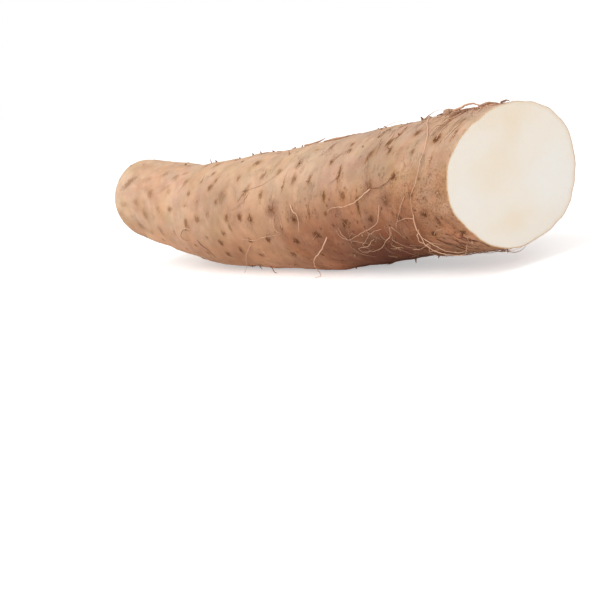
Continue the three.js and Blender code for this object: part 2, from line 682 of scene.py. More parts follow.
@dataclass(frozen=True)
class Relief:
    """The skin's low relief.

    Attributes:
        swell: Height and width of the broad uneven swells.
        ring: Depth of the wrinkles that run round the tuber.
        ring_gap: Distance between two of them.
        ring_run: Length of one.
        drift: How far one strays off its ring, and over what distance.
        grain: Height and width of the fine unevenness.
        nick: The same of what the knife left along the cut's edge.
        nick_reach: How far from the cut it starts.
        nose_share: Share of the wrinkles' depth that is left at the nose.
        wrinkled_from: Distance from the nose where they are at their full depth.
        worn: Where the cut's edge has shrunk back, each as its turn, half its width and its depth.
        worn_reach: How far from the cut the shrinking starts.
        fuller: Where the skin stands fuller.
    """

    swell: Pair = (0.30, 24.0)
    ring: float = 0.44
    ring_gap: float = 4.2
    ring_run: float = 34.0
    drift: Pair = (2.0, 30.0)
    grain: Pair = (0.12, 5.0)
    nick: Pair = (0.55, 5.5)
    nick_reach: float = 7.0
    nose_share: float = 0.25
    wrinkled_from: float = 230.0
    worn: tuple[Triple, ...] = ((118.0, 44.0, 1.7), (226.0, 36.0, 1.2))
    worn_reach: float = 12.0
    fuller: tuple[Swelling, ...] = (
        Swelling(34.0, 242.0, 24.0, 36.0, 2.2),
        Swelling(LENGTH, 20.0, 14.0, 22.0, 0.7),
        Swelling(LENGTH, 298.0, 14.0, 14.0, 0.6),
        Swelling(LENGTH, 320.0, 14.0, 16.0, 0.5),
    )

    def height(self, place: Vector) -> float:
        """Work out the relief at a place.

        Args:
            place: A place on the straight tuber.

        Returns:
            Height above the even form.
        """
        soft = uneven(place, *self.swell) + uneven(place, *self.grain, (7.0, 3.0, 1.0))
        fuller = sum(swelling.at(place) for swelling in self.fuller)
        return soft + self._nicked(place) + self._wrinkled(place) + fuller - self._shrunk(place)

    def _nicked(self, place: Vector) -> float:
        """Give the height of the knife's small nicks at a place."""
        near_cut = max(0.0, 1.0 - (LENGTH - place.x) / self.nick_reach) ** 2
        return near_cut * uneven(Vector((2.0, place.y, place.z)), *self.nick)

    def _wrinkled(self, place: Vector) -> float:
        """Work out the wrinkles at a place.

        Args:
            place: A place on the straight tuber.

        Returns:
            Their height.
        """
        growth = self.nose_share + (1 - self.nose_share) * min(1.0, place.x / self.wrinkled_from)
        drift = uneven(place, *self.drift, (0.0, 9.0, 4.0))
        band = Vector(((place.x + drift) / self.ring_gap, place.y / self.ring_run, place.z / self.ring_run))
        return self.ring * growth * (abs(noise.noise(band)) - 0.25)

    def _shrunk(self, place: Vector) -> float:
        """Give how far the cut's edge has shrunk back at a place."""
        near_cut = max(0.0, 1.0 - (LENGTH - place.x) / self.worn_reach) ** 2
        return near_cut * sum(deep * mound(turn_from(place, turn) / half) for turn, half, deep in self.worn)


# ---- finishes ----


def linear(share: float) -> float:
    """Turn one share of a colour as it is seen, 0 to 1, into its share of light."""
    return share / 12.92 if share <= 0.04045 else ((share + 0.055) / 1.055) ** 2.4


def paint(red: float, green: float, blue: float) -> Paint:
    """Give the colour, with full alpha, that was mixed on a 0 to 255 scale."""
    return (*(linear(value / 255) for value in (red, green, blue)), 1.0)


def bare_material(name: str, **plain: Feed) -> tuple[Material, TreeWriter, Node]:
    """Start a material with only a Principled BSDF.

    Args:
        name: The material's name.
        plain: The shader's uniform values by name, with _ for a space.

    Returns:
        The material, a writer for its tree, and the shader node.
    """
    material = bpy.data.materials.new(name)
    material.use_nodes = True
    material.node_tree.nodes.clear()
    write = TreeWriter(material.node_tree)
    inputs = {label.replace("_", " "): value for label, value in plain.items()}
    shader = write.add("ShaderNodeBsdfPrincipled", inputs)
    write.add("ShaderNodeOutputMaterial", {"Surface": shader.outputs["BSDF"]})
    return material, write, shader


def add_bump(write: TreeWriter, shader: Node, height: Socket, depth: float) -> None:
    """Give a material's shader its bump; the depth is what a height of 1 stands for."""
    bump = write.add("ShaderNodeBump", {"Strength": 1.0, "Distance": depth * MM, "Height": height})
    write.feed(shader.inputs["Normal"], bump.outputs["Normal"])


@dataclass(frozen=True)
class SharedEffects:
    """The shader node groups that more than one finish uses."""

    patches: ShaderGroup = field(default_factory=soft_patches_group)
    specks: ShaderGroup = field(default_factory=fine_specks_group)


@dataclass(frozen=True)
class Blotch:
    """A broad blotch on the skin, with soft uneven edges; some of them are painted light and some painted
    shade.

    Attributes:
        along: Distance of its middle from the nose.
        turn: Its middle's turn.
        half_length: Half its length along the tuber.
        half_width: Half its width round the tuber.
        strength: How much of it shows, 0 to 1.
        tint: What it multiplies the skin's colour by.
    """

    along: float
    turn: float
    half_length: float
    half_width: float
    strength: float
    tint: Paint


@dataclass(frozen=True)
class Stain:
    """A stain along the flank.

    Attributes:
        along: Where along the tuber it starts, and where it is full.
        height: The same up and down the flank, from the axis.
        strength: How much of it shows, 0 to 1.
        colour: Its colour.
        thins: Where it starts to thin out towards the cut and how much is left there, if it does.
    """

    along: Pair
    height: Pair
    strength: float
    colour: Paint
    thins: Optional[Pair] = None


@dataclass(frozen=True)
class Flush:
    """Small tinted patches all over the skin.

    Attributes:
        size: Width of a patch.
        shift: How far the pattern is moved, so that no two layers match.
        strength: How much of them shows, 0 to 1.
        tint: What they multiply the skin's colour by.
    """

    size: float
    shift: float
    strength: float
    tint: Paint


DULL = (0.80, 0.79, 0.79, 1.0)
# This tint makes the lower flank warmer and darker: painted warm shade.
WARM_SHADE = (0.94, 0.86, 0.79, 1.0)
# This tint darkens the skin under the nose and low on the flank: painted shade.
BROWN_SHADE = (0.80, 0.71, 0.66, 1.0)
# These two lift the skin above its own colour: painted light, the second low under the flank, lit from below.
PAINTED_LIGHT = (1.34, 1.28, 1.32, 1.0)
PAINTED_LIGHT_FROM_BELOW = (1.52, 1.44, 1.48, 1.0)
GREY = (0.98, 1.02, 1.05, 1.0)
# This tint warms the underside of the nose: painted warm reflected light.
WARM_BOUNCE = (1.0, 0.90, 0.80, 1.0)
STRAW = (1.0, 1.05, 1.08, 1.0)
# This tint reddens the low flank: partly the skin's own redder colour, partly painted warm light reflected
# from below.
RUDDY_AND_BOUNCE = (1.0, 0.93, 0.88, 1.0)
REDDISH = (1.0, 0.86, 0.81, 1.0)
SALLOW = (0.95, 0.97, 0.83, 1.0)
ASH = paint(188, 158, 136)
AGE = paint(188, 138, 102)
# This colour darkens the lower flank: partly a real earth stain, partly painted shade.
EARTH_AND_SHADE = paint(150, 88, 58)

# The blotches with the warming, darkening and lifting tints above are painted light and shade; the dull, grey
# and straw ones are the skin's own colour.
BLOTCHES = (
    Blotch(122, 162, 20, 24, 0.72, DULL),
    Blotch(185, 158, 34, 18, 0.24, DULL),
    Blotch(222, 166, 16, 13, 0.32, DULL),
    Blotch(248, 150, 18, 14, 0.85, DULL),
    Blotch(228, 118, 40, 22, 0.90, GREY),
    Blotch(16, 198, 20, 20, 0.50, WARM_BOUNCE),
    Blotch(20, 230, 16, 14, 0.55, BROWN_SHADE),
    Blotch(270, 230, 14, 11, 0.55, BROWN_SHADE),
    Blotch(146, 210, 26, 12, 0.70, WARM_SHADE),
    Blotch(108, 216, 38, 19, 0.85, BROWN_SHADE),
    Blotch(136, 188, 36, 18, 0.7, WARM_SHADE),
    Blotch(196, 200, 24, 14, 0.9, WARM_SHADE),
    Blotch(138, 250, 66, 11.5, 1.0, PAINTED_LIGHT_FROM_BELOW),
    Blotch(196, 243, 14, 9, 0.7, PAINTED_LIGHT_FROM_BELOW),
    Blotch(48, 218, 28, 16, 0.6, PAINTED_LIGHT),
    Blotch(290, 222, 14, 12, 0.75, PAINTED_LIGHT),
    Blotch(12, 154, 14, 14, 0.25, PAINTED_LIGHT),
    Blotch(20, 138, 18, 34, 1.0, STRAW),
)

STAINS = (
    Stain((170, 235), (2, 22), 0.50, ASH),
    Stain((85, 165), (24, 2), 0.45, AGE),
    Stain((165, 215), (20, 4), 0.30, AGE),
    # The last stain is partly real earth and partly painted shade on the lower flank.
    Stain((145, 215), (13, -12), 0.68, EARTH_AND_SHADE, thins=(262, 0.15)),
)

FLUSHES = (Flush(15, 29, 0.60, REDDISH), Flush(11, 57, 0.55, SALLOW), Flush(6, 71, 0.40, REDDISH))


@dataclass(frozen=True)
class SkinFinish:
    """Thin tan cork, uneven in colour, with rings, root scars and earth worked into it, and with painted
    light and shade on its lower flank and nose.

    Attributes:
        tan: The main colour.
        pink: Its pinkish patches.
        ochre: Its yellowish patches.
        ash: Its dull greyish patches.
        tip: The young skin on the nose.
        shade: Painted shade, low on the thick part.
        ruddy_and_bounce: What the low flank multiplies its colour by, partly its own redder colour and partly
            painted warm light from below.
        furrow: A wrinkle.
        scar: A root scar.
        deep: A root scar low on the flank, darker there as painted shade.
        bruise: The stain round some scars.
        raw: The skin's edge at the cut.
        dry: That edge on the side that has dried.
        stains: Its stains of age and earth, the earth one partly painted shade.
        blotches: Its broad blotches, some of them painted light and shade.
        flushes: Its small tinted patches.
    """

    tan: Paint = paint(218, 184, 155)
    pink: Paint = paint(215, 176, 151)
    ochre: Paint = paint(211, 173, 138)
    ash: Paint = ASH
    tip: Paint = paint(225, 199, 169)
    shade: Paint = paint(104, 58, 42)
    ruddy_and_bounce: Paint = RUDDY_AND_BOUNCE
    furrow: Paint = paint(168, 114, 66)
    scar: Paint = paint(112, 67, 30)
    deep: Paint = paint(84, 35, 8)
    bruise: Paint = paint(146, 106, 90)
    raw: Paint = paint(226, 188, 142)
    dry: Paint = paint(243, 224, 208)
    stains: tuple[Stain, ...] = STAINS
    blotches: tuple[Blotch, ...] = BLOTCHES
    flushes: tuple[Flush, ...] = FLUSHES

    def build(self, effects: SharedEffects) -> Material:
        """Make the material, with the shared node groups."""
        return SkinPainter(self, effects).paint()


class SkinPainter(TreeWriter):
    """Lays the skin's coats into one material, each over the last.

    A coat's reach is given on the straight tuber: along it, across it, or up and down its flank.
    """

    def __init__(self, finish: SkinFinish, effects: SharedEffects) -> None:
        """Start with the plain tan skin.

        Args:
            finish: The finish's colours, stains and blotches.
            effects: The shared node groups.
        """
        self.finish, self.effects = finish, effects
        self.material, write, self.shader = bare_material("yam_skin", Specular_IOR_Level=0.3)
        super().__init__(write.tree)
        self.place = self.mark(Mark.PLACE, "Vector")
        self.along, self.across, self.top = self.parts(self.place)
        self.grain = self.noise(self.place, 0.9, 4.0, 0.7)
        self.coarse = self.band(self.along, 190.0, 285.0, 0.35, 1.0)
        # Scars and flecks shift to the darker deep colour lower down the flank: painted shade.
        self.dark = self.mix(self.band(self.top, 6.0, -14.0), finish.scar, finish.deep)
        self.ragged = self.band(self._patch(13.0, 0.6, 17.0), 0.0, 1.0, 0.75, 1.15)
        self.colour: Feed = finish.tan

    def paint(self) -> Material:
        """Lay every coat.

        Returns:
            The material.
        """
        self._ground()
        self._stained()
        self._blotched()
        self._flushed()
        wrinkles, cracks = self._wrinkled()
        self._toned()
        pits = self._pitted()
        core = self._scarred()
        self._edged()
        self.feed(self.shader.inputs["Base Color"], self.colour)
        self.feed(self.shader.inputs["Roughness"], self.band(self.grain, 0.3, 0.7, 0.62, 0.82))
        height = self.math("ADD", wrinkles, self.product(self.grain, self.coarse, 0.7))
        for hollow in (*pits, cracks, self.product(core, 0.4)):
            height = self.math("SUBTRACT", height, hollow)
        add_bump(self, self.shader, height, 0.45)
        return self.material

    def _coat(self, colour: Feed, *shares: Feed, blend: str = "MIX") -> None:
        """Lay a colour over what is there, as much of it as the product of the shares."""
        self.colour = self.mix(self.product(*shares), self.colour, colour, blend)

    def _patch(self, size: float, cover: float, shift: float) -> Socket:
        """Give one layer of patches: their width, how much they cover, and how far they are moved."""
        where = self.vector("ADD", self.place, (shift, shift * 0.7, -shift))
        return self.effects.patches.use(self, Where=where, Size=size, Cover=cover)

    def _streaks(self, lengthwise: float, around: float, roughness: float = 0.5) -> Socket:
        """Give noise in streaks, from how many features there are to a millimetre, lengthwise and around."""
        stretched = self.vector("MULTIPLY", self.place, (lengthwise, around, around))
        return self.noise(stretched, 1.0, 2.0, roughness)

    def _centred(self, value: Feed, *shares: Feed) -> Socket:
        """Move a value of 0 to 1 so that its middle is 0, and multiply it by the shares."""
        return self.product(self.math("SUBTRACT", value, 0.5), *shares)

    def _ground(self) -> None:
        """Lay the cork's own uneven colours."""
        self._coat(self.finish.pink, self._patch(34.0, 0.5, 0.0))
        self._coat(self.finish.ochre, self._patch(26.0, 0.45, 41.0), 0.7)
        self._coat(self.finish.ash, self._patch(15.0, 0.4, 83.0), 0.22)
        self._coat(self.finish.tip, self.band(self.along, 34.0, 2.0, 0.0, 0.65))

    def _stained(self) -> None:
        """Lay the stains of age and earth along the flank, the earth one partly painted shade, then painted
        shade low on the thick part and a redder tint under the flank that is partly painted warm light.
        """
        band, along, top = self.band, self.along, self.top
        for stain in self.finish.stains:
            shares = [band(along, *stain.along), band(top, *stain.height), self.ragged]
            if stain.thins:
                start, left = stain.thins
                shares.append(band(along, LENGTH, start, left, 1.0))
            self._coat(stain.colour, *shares, stain.strength)
        thick_part = (band(along, 190.0, 238.0), band(along, 278.0, 248.0))
        # Painted shade, low on the thick part of the flank.
        self._coat(self.finish.shade, *thick_part, band(top, -5.0, -22.0), 0.82)
        ends = (band(along, 20.0, 70.0, 0.5, 1.0), band(along, 304.0, 280.0, 0.3, 1.0))
        # A redder tint under the flank: partly the skin's own colour, partly painted warm light from below.
        self._coat(self.finish.ruddy_and_bounce, *ends, band(top, 2.0, -18.0), blend="MULTIPLY")

    def _blotched(self) -> None:
        """Lay the broad blotches, some of them painted light and shade."""
        for blotch in self.finish.blotches:
            middle = straight_place(blotch.along, blotch.turn)
            size = (blotch.half_length, blotch.half_width, blotch.half_width)
            off = self.ellipse(self.place, middle, size)
            off = self.math("ADD", off, self.product(self.ragged, 0.3))
            self._coat(blotch.tint, self.band(off, 1.45, 0.5, 0.0, blotch.strength), blend="MULTIPLY")

    def _flushed(self) -> None:
        """Lay the small reddish and sallow patches, weakest between the nose and the thick part."""
        nose = self.band(self.along, 60.0, 165.0, 0.95, 0.60)
        thick_part = self.band(self.along, 200.0, 250.0, 0.0, 0.55)
        ends = self.math("ADD", nose, thick_part)
        for flush in self.finish.flushes:
            patch = self._patch(flush.size, 0.5, flush.shift)
            self._coat(flush.tint, patch, ends, flush.strength, blend="MULTIPLY")

    def _wrinkled(self) -> tuple[Socket, Socket]:
        """Lay fine broken wrinkles round the tuber.

        Returns:
            The height of the wrinkles, and the depth of the cracks among them.
        """
        band, product, along = self.band, self.product, self.along
        rings = self._streaks(1.5, 0.16, 0.6)
        crease = self.math("ABSOLUTE", self.math("SUBTRACT", rings, 0.5))
        broken = product(band(crease, 0.035, 0.004), band(self.noise(self.place, 0.14), 0.50, 0.66))
        self._coat(self.finish.furrow, broken, band(along, 90.0, 240.0, 0.03, 0.32))
        wrinkles = product(rings, band(along, 60.0, 250.0, 0.05, 0.6))
        return wrinkles, product(broken, band(along, 70.0, 240.0, 0.04, 0.4))

    def _toned(self) -> None:
        """Lighten and darken the colour in clouds, in rings and grain by grain."""
        band, product = self.band, self.product
        mottle = band(self.noise(self.place, 0.085, 3.0, 0.6), 0.32, 0.68, 0.90, 1.08)
        clouds = band(self.noise(self.place, 0.2, 2.0, 0.5), 0.34, 0.66, 0.955, 1.035)
        ringed = band(self.along, 80.0, 235.0, 0.10, 0.85)
        broad = product(band(self._streaks(0.13, 0.02), 0.35, 0.65, -0.045, 0.035), ringed)
        narrow = product(band(self._streaks(0.5, 0.05), 0.38, 0.62, -0.02, 0.015), ringed)
        rings = self.math("ADD", self.math("ADD", 1.0, broad), narrow)
        grains = self.math("ADD", 1.0, self._centred(self.grain, self.coarse, 0.28))
        self.colour = self.scaled(self.colour, product(mottle, clouds, rings, grains))

    def _pitted(self) -> tuple[Socket, Socket]:
        """Lay the specks, the dark flecks and the rubbed-in earth of the thick part.

        Returns:
            The depths of the specks and of the stipple.
        """
        band, product, along, top = self.band, self.product, self.along, self.top
        speck = self.effects.specks.use(self, Where=self.place, Spacing=2.4, Reach=0.45)
        pitted = product(band(along, 225.0, 278.0, 0.05, 0.45), band(top, 22.0, 4.0, 0.3, 1.0))
        self._coat(self.finish.furrow, speck, pitted)
        fleck = self.effects.specks.use(self, Where=self.place, Spacing=4.4, Reach=0.44)
        flecked = product(band(along, 120.0, 235.0, 0.06, 0.75), band(top, 24.0, 0.0, 0.3, 1.0))
        self._coat(self.dark, fleck, flecked, band(self.grain, 0.43, 0.58))
        stipple = band(self.noise(self.place, 1.25, 2.0, 0.6), 0.46, 0.36)
        rubbed = product(band(along, 232.0, 282.0), band(top, 20.0, 2.0, 0.15, 1.0))
        self._coat(self.finish.furrow, stipple, rubbed, 0.45)
        return product(speck, pitted, 0.8), product(stipple, rubbed, 0.4)

    def _scarred(self) -> Socket:
        """Lay the root scars, each with its bruise, its furrow and its dark frayed core.

        Returns:
            Where the cores are.
        """
        band, product, along = self.band, self.product, self.along
        off = product(self.mark(Mark.SCAR_OFF), band(along, 40.0, 170.0, 0.74, 0.95))
        fray = self._centred(self.noise(self.place, 0.55, 3.0, 0.6), 1.8)
        frayed = self.math("ADD", off, fray)
        thready = self.math("ADD", frayed, self._centred(self._streaks(1.9, 0.45, 0.6), 2.4))
        darkness, halo, _ = self.parts(self.mark(Mark.SCAR_LOOK, "Vector"))
        darkness = product(darkness, band(along, 30.0, 130.0, 0.92, 1.0))
        self._coat(self.finish.bruise, band(frayed, 3.0, 0.9), halo, 0.55)
        self._coat(self.finish.furrow, band(frayed, 2.3, 0.4), darkness, 0.55)
        core = product(band(thready, 1.3, 0.3), darkness)
        self._coat(self.dark, core, band(along, 30.0, 150.0, 0.62, 0.95))
        return core

    def _edged(self) -> None:
        """Lay the pale edge at the cut, broad where it has dried and thin where it is still raw."""
        band = self.band
        colour = self.mix(band(self.across, 12.0, -18.0), self.finish.dry, self.finish.raw)
        reach = band(self.across, -8.0, 14.0, 0.45, 2.4)
        edge = band(self.math("DIVIDE", self.mark(Mark.FROM_CUT), reach), 1.0, 0.05)
        least = band(self.across, -8.0, 14.0, 0.35, 0.9)
        cover = self.math("MAXIMUM", band(self.grain, 0.3, 0.6, 0.35, 0.95), least)
        self._coat(colour, edge, cover)


@dataclass(frozen=True)
class Cloud:
    """A faint cloud in the flesh, as an ellipse with soft edges.

    Attributes:
        across: How far its middle is across the face.
        up: How far its middle is up the face.
        half_width: Half its width.
        half_height: Half its height.
        tilt: How far its right end is turned up.
        strength: How much of it shows, 0 to 1.
        clear: Whether it is a clearer, wetter part, and not a cream one.
    """

    across: float
    up: float
    half_width: float
    half_height: float
    tilt: float = 0.0
    strength: float = 0.5
    clear: bool = False


CLOUDS = (
    Cloud(19, -5, 17, 19, strength=0.9, clear=True),
    Cloud(0, 26, 24, 10, strength=0.60),
    Cloud(-22, -6, 9, 14, strength=0.5, clear=True),
    Cloud(2.0, 20, 7, 9, -15, 0.45),
    Cloud(-2.5, 13, 11, 7, 35, 0.30),
    Cloud(-8, 4, 16, 12, 5, 0.50),
    Cloud(-2.5, -18, 13, 6.5, 6, 0.62),
)


@dataclass(frozen=True)
class FleshFinish:
    """Moist off-white flesh, clouded with faint yellow, with a thin deeper line under the skin.

    Attributes:
        white: The main colour.
        cream: Its faint clouds.
        cool: Its clearer, wetter parts.
        rim: The line under the skin.
        clouds: Where the clouds are.
    """

    white: Paint = paint(242, 233, 221)
    cream: Paint = paint(240, 223, 199)
    cool: Paint = paint(241, 237, 231)
    rim: Paint = paint(236, 210, 180)
    clouds: tuple[Cloud, ...] = CLOUDS

    def build(self, effects: SharedEffects) -> Material:
        """Make the material.

        Args:
            effects: The shared node groups.

        Returns:
            The material.
        """
        depths = (1.0, 0.7, 0.45)
        moist = {"Subsurface_Weight": 0.15, "Subsurface_Radius": depths, "Subsurface_Scale": 2.0 * MM}
        material, write, shader = bare_material("yam_flesh", **moist)
        place = write.mark(Mark.PLACE, "Vector")
        speck = effects.specks.use(write, Where=place, Spacing=3.2, Reach=0.3)
        grain = write.noise(place, 1.4, 3.0, 0.6)
        colour = write.mix(write.product(speck, 0.12), self._clouded(write, place, effects), self.cream)
        across = write.parts(place)[1]
        reach = write.band(across, -4.0, 20.0, 0.9, 2.2)
        under_skin = write.band(write.math("DIVIDE", write.mark(Mark.FROM_CUT), reach), 1.0, 0.0)
        line = write.product(under_skin, write.band(across, -24.0, 20.0, 0.5, 0.42))
        write.feed(shader.inputs["Base Color"], write.mix(line, colour, self.rim))
        write.feed(shader.inputs["Roughness"], write.band(grain, 0.3, 0.7, 0.42, 0.58))
        add_bump(write, shader, write.math("ADD", grain, write.product(speck, 0.4)), 0.08)
        return material

    def _clouded(self, write: TreeWriter, place: Socket, effects: SharedEffects) -> Feed:
        """Cloud the flesh.

        Args:
            write: The material's tree.
            place: The place on the face.
            effects: The shared node groups.

        Returns:
            The clouded colour.
        """
        uneven = effects.patches.use(write, Where=place, Size=9.0, Cover=0.5)
        colour: Feed = self.white
        for cloud in self.clouds:
            size = (1.0, cloud.half_width, cloud.half_height)
            off = write.ellipse(place, (0.0, cloud.across, cloud.up), size, cloud.tilt)
            off = write.math("ADD", off, write.product(uneven, 0.3))
            share = write.band(off, 1.25, 0.25, 0.0, cloud.strength)
            colour = write.mix(share, colour, self.cool if cloud.clear else self.cream)
        return colour


@dataclass(frozen=True)
class RootFinish:
    """Dry hair roots, from dark brown to pale straw.

    Attributes:
        name: The material's name.
        dark: Colour at tone 0.
        pale: Colour at tone 1.
        roughness: How dull it is.
    """

    name: str = "hair_root"
    dark: Paint = paint(112, 65, 38)
    pale: Paint = paint(236, 192, 160)
    roughness: float = 0.7

    def build(self, effects: SharedEffects) -> Material:
        """Make the material.

        Args:
            effects: The shared node groups.

        Returns:
            The material.
        """
        material, write, shader = bare_material(self.name, Roughness=self.roughness, Specular_IOR_Level=0.3)
        place = write.add("ShaderNodeTexCoord").outputs["Object"]
        patch = effects.patches.use(write, Where=place, Size=5.0 * MM, Cover=0.5)
        uneven = write.product(write.math("SUBTRACT", patch, 0.5), 0.25)
        tone = write.math("ADD", write.mark(Mark.TONE), uneven, clamp=True)
        write.feed(shader.inputs["Base Color"], write.mix(tone, self.dark, self.pale))
        add_bump(write, shader, write.noise(place, 1500.0, 2.0, 0.6), 0.05)
        return material


@dataclass(frozen=True)
class FloorFinish:
    """A plain white studio floor, which throws only a part of its light back up.

    Attributes:
        seen: Colour of the floor itself.
        thrown: Colour of the light that it throws back.
        glow: What keeps the far floor white.
    """

    seen: Paint = (0.93, 0.93, 0.93, 1.0)
    thrown: Paint = (0.75, 0.73, 0.71, 1.0)
    glow: Paint = (0.42, 0.42, 0.42, 1.0)

    def build(self) -> Material:
        """Make the material.

        Returns:
            The material.
        """
        plain = {"Emission_Strength": 1.0, "Roughness": 0.9, "Specular_IOR_Level": 0.0}
        material, write, shader = bare_material("studio_floor", **plain)
        seen = write.add("ShaderNodeLightPath").outputs["Is Camera Ray"]
        write.feed(shader.inputs["Base Color"], write.mix(seen, self.thrown, self.seen))
        write.feed(shader.inputs["Emission Color"], write.mix(seen, (0.0, 0.0, 0.0, 1.0), self.glow))
        return material


# ---- geometry trees ----


class GeometryRule(NodeRecipe):
    """A Geometry Nodes tree with named inputs, which turns a mesh's points or paths into a finished piece."""

    def __init__(self, name: str, number: str) -> None:
        """Start the tree.

        Args:
            name: The tree's name.
            number: Name of its whole number. It also has the inputs Geometry and Material.
        """
        inputs = {"Geometry": "NodeSocketGeometry", number: "NodeSocketInt", "Material": "NodeSocketMaterial"}
        super().__init__("GeometryNodeTree", name, inputs, ("Geometry", "NodeSocketGeometry"))
        self.tree.is_modifier = True

    def read(self, mark: Mark) -> Socket:
        """Read a number that the points carry."""
        node = self.writer.add("GeometryNodeInputNamedAttribute", {"Name": mark.value}, data_type="FLOAT")
        return node.outputs[0]

    def finish(self, made: Socket) -> None:
        """End the tree: real meshes, smooth, with their material.

        Args:
            made: The geometry so far.
        """
        real = self.writer.add("GeometryNodeRealizeInstances", {"Geometry": made})
        smooth = self.writer.add("GeometryNodeSetShadeSmooth", {"Geometry": real.outputs["Geometry"]})
        inputs = {"Geometry": smooth.outputs["Geometry"], "Material": self.given["Material"]}
        self.writer.feed(self.result, self.writer.add("GeometryNodeSetMaterial", inputs).outputs["Geometry"])

    def apply(self, name: str, seed_mesh: bpy.types.Mesh, number: int, material: Material) -> Piece:
        """Run the tree on a mesh, and keep the result as a plain piece.

        Args:
            name: The piece's name.
            seed_mesh: The points or paths that the tree reads.
            number: The tree's whole number.
            material: The piece's finish.

        Returns:
            The piece.
        """
        source = linked(name + "_paths", seed_mesh)
        modifier = source.modifiers.new(name, "NODES")
        modifier.node_group = self.tree
        values = {"NodeSocketInt": number, "NodeSocketMaterial": material}
        for item in self.tree.interface.items_tree:
            if item.in_out == "INPUT" and item.socket_type in values:
                modifier[item.identifier] = values[item.socket_type]
        graph = bpy.context.evaluated_depsgraph_get()
        mesh = bpy.data.meshes.new_from_object(source.evaluated_get(graph), depsgraph=graph)
        mesh.name = name
        source.modifiers.clear()
        bpy.data.objects.remove(source)
        return linked(name, mesh)


def root_tube_rule() -> GeometryRule:
    """Make the tree that gives each path a round, tapering root.

    Returns:
        The tree. Its number is a section's Sides, and a point's radius is its root_girth.
    """
    rule = GeometryRule("root_tubes", "Sides")
    paths = rule.writer.add("GeometryNodeMeshToCurve", {"Mesh": rule.given["Geometry"]})
    sides = {"Resolution": rule.given["Sides"], "Radius": 1.0}
    section = rule.writer.add("GeometryNodeCurvePrimitiveCircle", sides, mode="RADIUS")
    inputs = {
        "Curve": paths.outputs["Curve"],
        "Profile Curve": section.outputs["Curve"],
        "Scale": rule.read(Mark.GIRTH),
        "Fill Caps": True,
    }
    rule.finish(rule.writer.add("GeometryNodeCurveToMesh", inputs).outputs["Mesh"])
    return rule


def crumb_rule() -> GeometryRule:
    """Make the tree that puts an uneven crumb of earth on every point.

    Returns:
        The tree. Its number is the Seed of their turns and shapes, and a point's size is its root_girth.
    """
    rule = GeometryRule("crumbs_on_points", "Seed")
    write, seed = rule.writer, rule.given["Seed"]
    full_turn = 6.28
    flattest, longest = (0.6, 0.6, 0.45), (1.3, 1.0, 0.8)
    lump_rate, lump_height = 900.0, 1.2 * MM
    vectors = {"data_type": "FLOAT_VECTOR"}
    turn = write.add("FunctionNodeRandomValue", {"Max": (full_turn,) * 3, "Seed": seed}, **vectors)
    limits = {"Min": flattest, "Max": longest, "Seed": seed}
    stretch = write.add("FunctionNodeRandomValue", limits, **vectors)
    ball = write.add("GeometryNodeMeshIcoSphere", {"Radius": 1.0, "Subdivisions": 2})
    placed = {
        "Points": rule.given["Geometry"],
        "Instance": ball.outputs["Mesh"],
        "Rotation": turn.outputs[0],
        "Scale": write.scaled(stretch.outputs[0], rule.read(Mark.GIRTH)),
    }
    balls = write.add("GeometryNodeInstanceOnPoints", placed).outputs["Instances"]
    real = write.add("GeometryNodeRealizeInstances", {"Geometry": balls}).outputs["Geometry"]
    where = write.add("GeometryNodeInputPosition").outputs[0]
    lumps = write.add("ShaderNodeTexNoise", {"Vector": where, "Scale": lump_rate}).outputs["Color"]
    offset = write.scaled(write.vector("SUBTRACT", lumps, (0.5, 0.5, 0.5)), lump_height)
    lumpy = write.add("GeometryNodeSetPosition", {"Geometry": real, "Offset": offset})
    rule.finish(lumpy.outputs["Geometry"])
    return rule


# ---- pieces ----


def linked(
    name: str, data: bpy.types.ID, stand: Optional[Vector] = None, turn: Optional[Quaternion] = None
) -> Piece:
    """Make an object of a mesh, a lamp or a camera, and link it to the scene.

    Args:
        name: The object's name.
        data: What it shows.
        stand: Where it stands, in metres, if not in the middle of the scene.
        turn: How it is turned there.

    Returns:
        The object.
    """
    made = bpy.data.objects.new(name, data)
    if turn:
        made.location, made.rotation_mode, made.rotation_quaternion = stand, "QUATERNION", turn
    bpy.context.scene.collection.objects.link(made)
    return made


def new_piece(name: str, corners: Array, faces: Sequence[Sequence[int]]) -> Piece:
    """Make a smooth mesh object.

    Args:
        name: The piece's name.
        corners: Its vertices, in metres.
        faces: Its faces as vertex numbers.

    Returns:
        The object.
    """
    mesh = bpy.data.meshes.new(name)
    mesh.from_pydata(corners.tolist(), [], faces)
    mesh.shade_smooth()
    return linked(name, mesh)


def carry(mesh: bpy.types.Mesh, mark: Mark, values: Sequence[float]) -> None:
    """Store a value on every vertex.

    Args:
        mesh: The mesh.
        mark: The value's name.
        values: One number or one vector a vertex.
    """
    numbers = np.ascontiguousarray(values, dtype=np.float32)
    kind, key = ("FLOAT_VECTOR", "vector") if numbers.ndim == 2 else ("FLOAT", "value")
    mesh.attributes.new(mark.value, kind, "POINT").data.foreach_set(key, numbers.ravel())


def shell(name: str, first: Array, rings: Sequence[Array], last: Array) -> tuple[Piece, Array]:
    """Make a closed piece out of rings of points, from the middle of one end to the middle of the other.

    Args:
        name: The piece's name.
        first: The middle point before the rings.
        rings: The rings.
        last: The middle point behind them.

    Returns:
        The piece, and its vertices.
    """
    sides = len(rings[0])
    corners = np.concatenate([[first], *rings, [last]])
    pairs = [(side, (side + 1) % sides) for side in range(sides)]
    faces: list[tuple[int, ...]] = [(0, 1 + right, 1 + left) for left, right in pairs]
    for low in range(1, len(corners) - 1 - sides, sides):
        high = low + sides
        faces += [(low + left, low + right, high + right, high + left) for left, right in pairs]
    end = len(corners) - 1
    faces += [(end - sides + left, end - sides + right, end) for left, right in pairs]
    return new_piece(name, corners, faces), corners


def hand_over(piece: Piece, slot: Slot) -> None:
    """Attach a finished piece to the yam's body."""
    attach(piece, BODY)


